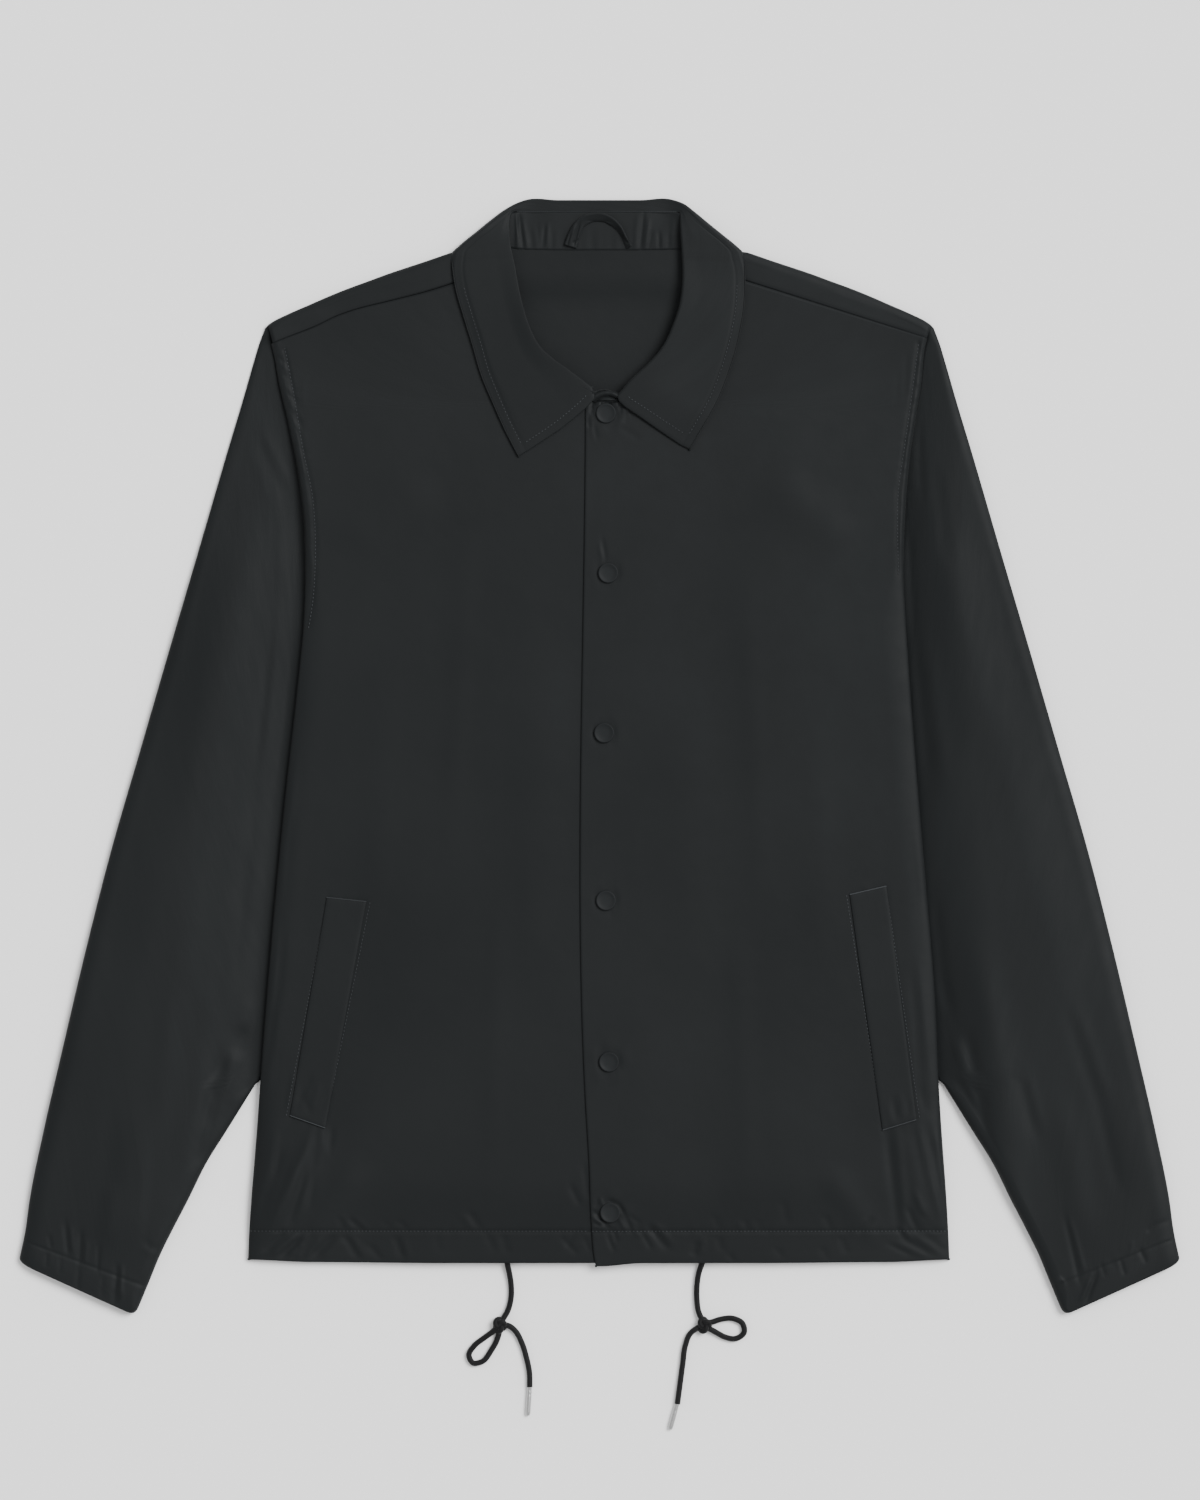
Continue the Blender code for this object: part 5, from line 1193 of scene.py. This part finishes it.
def welt_grid(side):
    """Straight between its four corners in plan, on the front's own height plus its thickness."""
    inner_top, inner_low, outer_low, outer_top = np.array(WELTS[side], dtype=float)
    down = np.linspace(0.0, 1.0, 66)[:, None, None]
    across = np.linspace(0.0, 1.0, 16)[None, :, None]
    inner = inner_low + (inner_top - inner_low) * down
    outer = outer_low + (outer_top - outer_low) * down
    plan = inner + (outer - inner) * across
    plan[..., 0] *= side
    x, y = plan[..., 0], plan[..., 1]
    smooth = front_height(x, y) + 0.40 * noise(x, y, 70.0, 120.0, 3)
    return raised(plan, 0.55 * front_surface(side, x, y) + 0.45 * smooth + WELT_LIFT)


welt_pieces = []
for side, name in SIDES:
    grid = turned(welt_grid(side), 0.55, ("start", "end", "first", "last"))
    welt_pieces.append(cloth("pocket_welt_" + name, grid, wall=THIN_WALL, flip=side == LEFT))

# %% The snap caps
# radius and height along half of a cap's section, from the middle of its top to the middle of its base
CAP_PROFILE = np.array(((0, 0.84), (2.0, 0.85), (3.6, 0.9), (4.6, 1.02), (5.4, 1.2), (6.0, 1.4),
                        (6.4, 1.48), (6.75, 1.36), (6.95, 1.05), (7.0, 0.7), (6.9, 0.3), (6.6, 0.0),
                        (3.0, 0.0), (0, 0)), dtype=float)
CAP_LIFT, CAP_SIDES = 0.2, 48
snap_pieces = []
for number, (x, y) in enumerate(SNAP_PLACES, start=1):
    seat = float(front_height(np.array(x), np.array(y)) + CAP_LIFT + overlap_lift(LEFT, np.array(x)))
    around = np.linspace(0.0, 2.0 * math.pi, CAP_SIDES, endpoint=False)
    radius = np.maximum(CAP_PROFILE[:, 0], 0.02)
    grid = np.stack((x + radius[:, None] * np.cos(around), y + radius[:, None] * np.sin(around),
                     seat + CAP_PROFILE[:, 1][:, None] + 0.0 * around), -1)
    faces = grid_faces(*grid.shape[:2], True, False).tolist()
    made = mesh_object("snap_cap_%d" % number, grid.reshape(-1, 3), faces)
    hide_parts("snap_%d" % number)
    snap_pieces.append(made)
print("snaps:", len(snap_pieces))

# %% [markdown]
# ## Stitches
# Topstitching is a row of short thread lengths, each one thinner at both ends. One small capsule
# of a few faces is repeated along each line as a single mesh, so hundreds of stitches stay light.


# %% Stitch rows
STITCH_SIDES, STITCH_LIFT = 6, 0.16


def stitch_row(name, path, pitch=2.6, length=1.3, width=0.6):
    """Small capsules along a path: their centres a pitch apart, long axis along the path."""
    places = run_along(path)
    at = np.arange(pitch / 2.0, places[-1], pitch)
    behind, middle, ahead = (columns_at(where, places, path, np.interp)
                             for where in (at - 0.5, at, at + 0.5))
    way = unit(ahead - behind)
    side = unit(np.cross((0.0, 0.0, 1.0), way))
    up = np.cross(way, side)
    spots = np.array((-0.5, -0.36, 0.0, 0.36, 0.5))
    wide = np.array((0.12, 0.8, 1.0, 0.8, 0.12))[:, None]
    turn = np.linspace(0.0, 2.0 * math.pi, STITCH_SIDES, endpoint=False)
    local = np.stack(np.broadcast_arrays(spots[:, None] * length, wide * np.cos(turn) * width / 2.0,
                                         wide * np.sin(turn) * width / 2.0), -1).reshape(-1, 3)
    points = (middle[:, None] + way[:, None] * local[None, :, :1] + side[:, None] * local[None, :, 1:2]
              + up[:, None] * local[None, :, 2:])
    starts = len(spots) * STITCH_SIDES * np.arange(len(at) + 1)
    quads = grid_faces(len(spots), STITCH_SIDES, True, False)
    quads = (quads[None] + starts[:-1, None, None]).reshape(-1, 4).tolist()
    caps = [[start + k for k in range(STITCH_SIDES)] for start in starts[:-1]]
    caps += [[start - 1 - k for k in range(STITCH_SIDES)] for start in starts[1:]]
    return mesh_object(name, points.reshape(-1, 3), quads + caps)


def on_front(side, line, lift=STITCH_LIFT, step=2.0):
    """A plan line laid on a front: its points a step apart, at the front's height."""
    line = np.asarray(line, dtype=float)
    places = run_along(line)
    at = np.linspace(0.0, places[-1], int(places[-1] / step) + 2)
    x, y = columns_at(at, places, line, curve if len(line) > 2 else np.interp).T
    return np.column_stack((x, y, front_surface(side, x, y) + lift))


stitch_pieces = []
for side, name in SIDES:
    seam = in_plan(ARMHOLE_STITCH[side], side)
    stitch_pieces.append(stitch_row("stitches_armhole_" + name, on_front(side, seam)))
    ends = (-6.0, 243.5) if side == LEFT else (-8.5, -244.5)
    hem = np.array([(x, HEM_STITCH_Y) for x in ends])
    stitch_pieces.append(stitch_row("stitches_hem_" + name, on_front(side, hem)))
    corners = in_plan(WELTS[side], side)
    middle = corners.mean(axis=0)
    wider = middle + (corners - middle) * (1.12, 1.0)
    for first, last, where in ((0, 1, "inner"), (3, 2, "outer")):
        row = on_front(side, wider[[first, last]])
        stitch_pieces.append(stitch_row("stitches_welt_%s_%s" % (where, name), row))
    for first, last, where in ((0, 3, "upper"), (1, 2, "lower")):
        bar = corners[first] + (corners[last] - corners[first]) * np.array((-0.02, 1.02))[:, None]
        bar = on_front(side, bar, WELT_LIFT + 0.3)
        row = stitch_row("bar_%s_%s" % (where, name), bar, pitch=0.85, length=1.0, width=0.8)
        stitch_pieces.append(row)
    cuff = np.array(CUFF_STITCH[side], dtype=float)
    share = np.linspace(0.04, 0.97, 60)[:, None]
    plan = cuff[0] + (cuff[1] - cuff[0]) * share
    level = sleeve_top(side, plan[:, 0], plan[:, 1], 7.8)
    stitch_pieces.append(stitch_row("stitches_cuff_" + name, np.column_stack((plan, level))))
print("stitch rows:", len(stitch_pieces))


# %% Stitches on the collar
def inset_line(grid, row_numbers, inset):
    """A line in a leaf grid over the rows in a range, inset from the outer edge of each section."""
    steps = np.linalg.norm(np.diff(grid[:, ::-1], axis=1), axis=2)
    run = np.concatenate((np.zeros((len(grid), 1)), np.cumsum(steps, axis=1)), axis=1)
    return np.concatenate([columns_at(inset, run[n], grid[n, ::-1], np.interp)
                           for n in range(*row_numbers)])


EDGE_INSET, FRONT_INSET, FIRST_OUTER = 6.6, 6.4, 112
for side, name in SIDES:
    half = leaf_half(side)
    outer = inset_line(half, (FIRST_OUTER, len(half)), EDGE_INSET)
    gap = np.linalg.norm(half[:, 40] - half[-1, 40], axis=1)
    near = int(np.argmin(np.abs(gap - FRONT_INSET)))
    front = half[near, ROLL_COLUMNS + 4:ROLL_COLUMNS + LEAF_COLUMNS - 6:2]
    keep = outer[:near - FIRST_OUTER + 1]
    stitch_pieces.append(stitch_row("stitches_leaf_outer_" + name, keep + (0, 0, STITCH_LIFT)))
    stitch_pieces.append(stitch_row("stitches_leaf_front_" + name, front + (0, 0, STITCH_LIFT)))
x = np.linspace(-58, 54, 60)
stitch_pieces.append(stitch_row("stitches_stand", np.column_stack((x, 382.0 + 0 * x, 3.0 + 0 * x)),
                                 pitch=1.4, length=0.9, width=0.5))
print("stitch rows with the collar:", len(stitch_pieces))

# %% [markdown]
# ## Finishes
# The cloth is a tight plain weave of black nylon: almost matt, with a faint silky light at grazing
# angles. One shader group makes the weave, the fine crumple and a slow change of tone, and each material
# uses it with its own values. Threads and cord are duller, the caps lacquered, the end tubes metal. The
# thread is coloured lighter than the cloth: a painted highlight on the stitches.


# %% The weave as a shader group
def added(tree, kind, given, **settings):
    """A new shader node with its settings, its inputs fed as given."""
    made = tree.nodes.new(kind)
    for key, value in settings.items():
        setattr(made, key, value)
    feed(tree, made, given)
    return made.outputs


def weave_group():
    """Colour and height of a plain weave: two crossed waves, fine crumple noise and a slow tone."""
    group = bpy.data.node_groups.new("nylon_weave", "ShaderNodeTree")
    for way, kind, names in (("INPUT", "Vector", ("Place",)), ("INPUT", "Float", ("Threads", "Crumple")),
                             ("INPUT", "Color", ("Dark", "Light")), ("OUTPUT", "Color", ("Colour",)),
                             ("OUTPUT", "Float", ("Roughness", "Height"))):
        for name in names:
            group.interface.new_socket(name, in_out=way, socket_type="NodeSocket" + kind)
    given = group.nodes.new("NodeGroupInput").outputs
    place = given["Place"]
    threads = {"Vector": place, "Scale": given["Threads"], "Distortion": 0.4}
    across, along = (added(group, "ShaderNodeTexWave", threads, wave_type="BANDS",
                           bands_direction=direction)["Fac"] for direction in ("X", "Y"))
    weave = added(group, "ShaderNodeMath", {0: across, 1: along}, operation="MULTIPLY")["Value"]
    crumple = added(group, "ShaderNodeTexNoise", {"Vector": place, "Scale": given["Crumple"], "Detail": 5.0,
                                                  "Roughness": 0.55})["Fac"]
    slow = added(group, "ShaderNodeTexNoise", {"Vector": place, "Scale": 7.0, "Detail": 2.0})["Fac"]
    tone = added(group, "ShaderNodeMapRange", {"Value": slow, "From Min": 0.3, "From Max": 0.7})["Result"]
    mixed = added(group, "ShaderNodeMath", {0: weave, 1: 0.35, 2: tone},
                  operation="MULTIPLY_ADD")["Value"]
    colour = added(group, "ShaderNodeMix", {"Factor": mixed, "A": given["Dark"], "B": given["Light"]},
                   data_type="RGBA")["Result"]
    rough = added(group, "ShaderNodeMapRange", {"Value": crumple, "To Min": 0.50, "To Max": 0.66})["Result"]
    height = added(group, "ShaderNodeMath", {0: weave, 1: 0.05, 2: crumple},
                   operation="MULTIPLY_ADD")["Value"]
    added(group, "NodeGroupOutput", {"Colour": colour, "Roughness": rough, "Height": height})
    return group


WEAVE = weave_group()
print("nodes in the weave:", len(WEAVE.nodes))


# %% A woven finish
def woven(name, dark, light, threads=900.0, crumple=60.0, bump=0.0002, sheen=0.03, object_space=False):
    """A woven finish: the group's colour, roughness and height into one Principled shader."""
    made, shader = new_material(name)
    tree = made.node_tree
    place = added(tree, "ShaderNodeTexCoord", {})["Object" if object_space else "UV"]
    weave = added(tree, "ShaderNodeGroup", {"Place": place, "Threads": threads, "Crumple": crumple,
                                            "Dark": (*dark, 1.0), "Light": (*light, 1.0)}, node_tree=WEAVE)
    bumped = added(tree, "ShaderNodeBump", {"Strength": 1.0, "Distance": bump, "Height": weave["Height"]})
    feed(tree, shader, {"Base Color": weave["Colour"], "Roughness": weave["Roughness"],
                        "Normal": bumped["Normal"], "Sheen Weight": sheen, "Sheen Roughness": 0.5,
                        "Specular IOR Level": 0.11})
    return made


# %% The five finishes
NYLON = woven("black_nylon", (0.0066, 0.0077, 0.0083), (0.0088, 0.0101, 0.0107))
# the thread's colours are several times lighter than the cloth's: a painted highlight along the stitches
THREAD_PAINTED_HIGHLIGHT = woven("thread", (0.022, 0.0245, 0.0265), (0.042, 0.046, 0.050),
               3000.0, 400.0, 0.0001, 0.05, True)
BRAID = woven("braided_cord", (0.002, 0.002, 0.0022), (0.009, 0.009, 0.0095), 420.0, 300.0, 0.0004, 0.1)
CAP = woven("snap_lacquer", (0.0090, 0.0104, 0.0112), (0.0108, 0.0122, 0.0130),
            2000.0, 90.0, 0.00005, 0.0, True)

METAL, metal = new_material("nickel")
tree = METAL.node_tree
spot = added(tree, "ShaderNodeTexCoord", {})["Object"]
scratches = added(tree, "ShaderNodeTexNoise", {"Vector": spot, "Scale": 900.0})["Fac"]
dull, tint = (added(tree, "ShaderNodeMapRange", {"Value": scratches, "To Min": low, "To Max": high})
              for low, high in ((0.22, 0.38), (0.42, 0.55)))
feed(tree, metal, {"Metallic": 1.0, "Roughness": dull["Result"], "Base Color": tint["Result"]})
print("finishes:", [finish.name for finish in (NYLON, THREAD_PAINTED_HIGHLIGHT, BRAID, CAP, METAL)])

# %% The finishes on the pieces
cloth_pieces = [*front_pieces.values(), *sleeve_pieces.values(), back_piece, stand_piece, leaf_piece,
                loop_piece, *welt_pieces]
for pieces, finish, slot in ((cloth_pieces, NYLON, "cloth"), (stitch_pieces, THREAD_PAINTED_HIGHLIGHT, "cloth"),
                             (cord_pieces + knot_pieces, BRAID, "cord"), (snap_pieces, CAP, "snap"),
                             (aglet_pieces, METAL, "metal")):
    for piece in pieces:
        piece.data.materials.clear()
        piece.data.materials.append(finish)
print("pieces of cloth:", len(cloth_pieces), "rows of stitches:", len(stitch_pieces))

# %% [markdown]
# ## The size of the whole
# The box round all the pieces that show, beside the box of the imported solids.

size = {"cad": [list(corner) for corner in CAD_BOX], "visual": [list(corner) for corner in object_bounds()]}
print("visual box:", [round(v, 4) for corner in size["visual"] for v in corner])
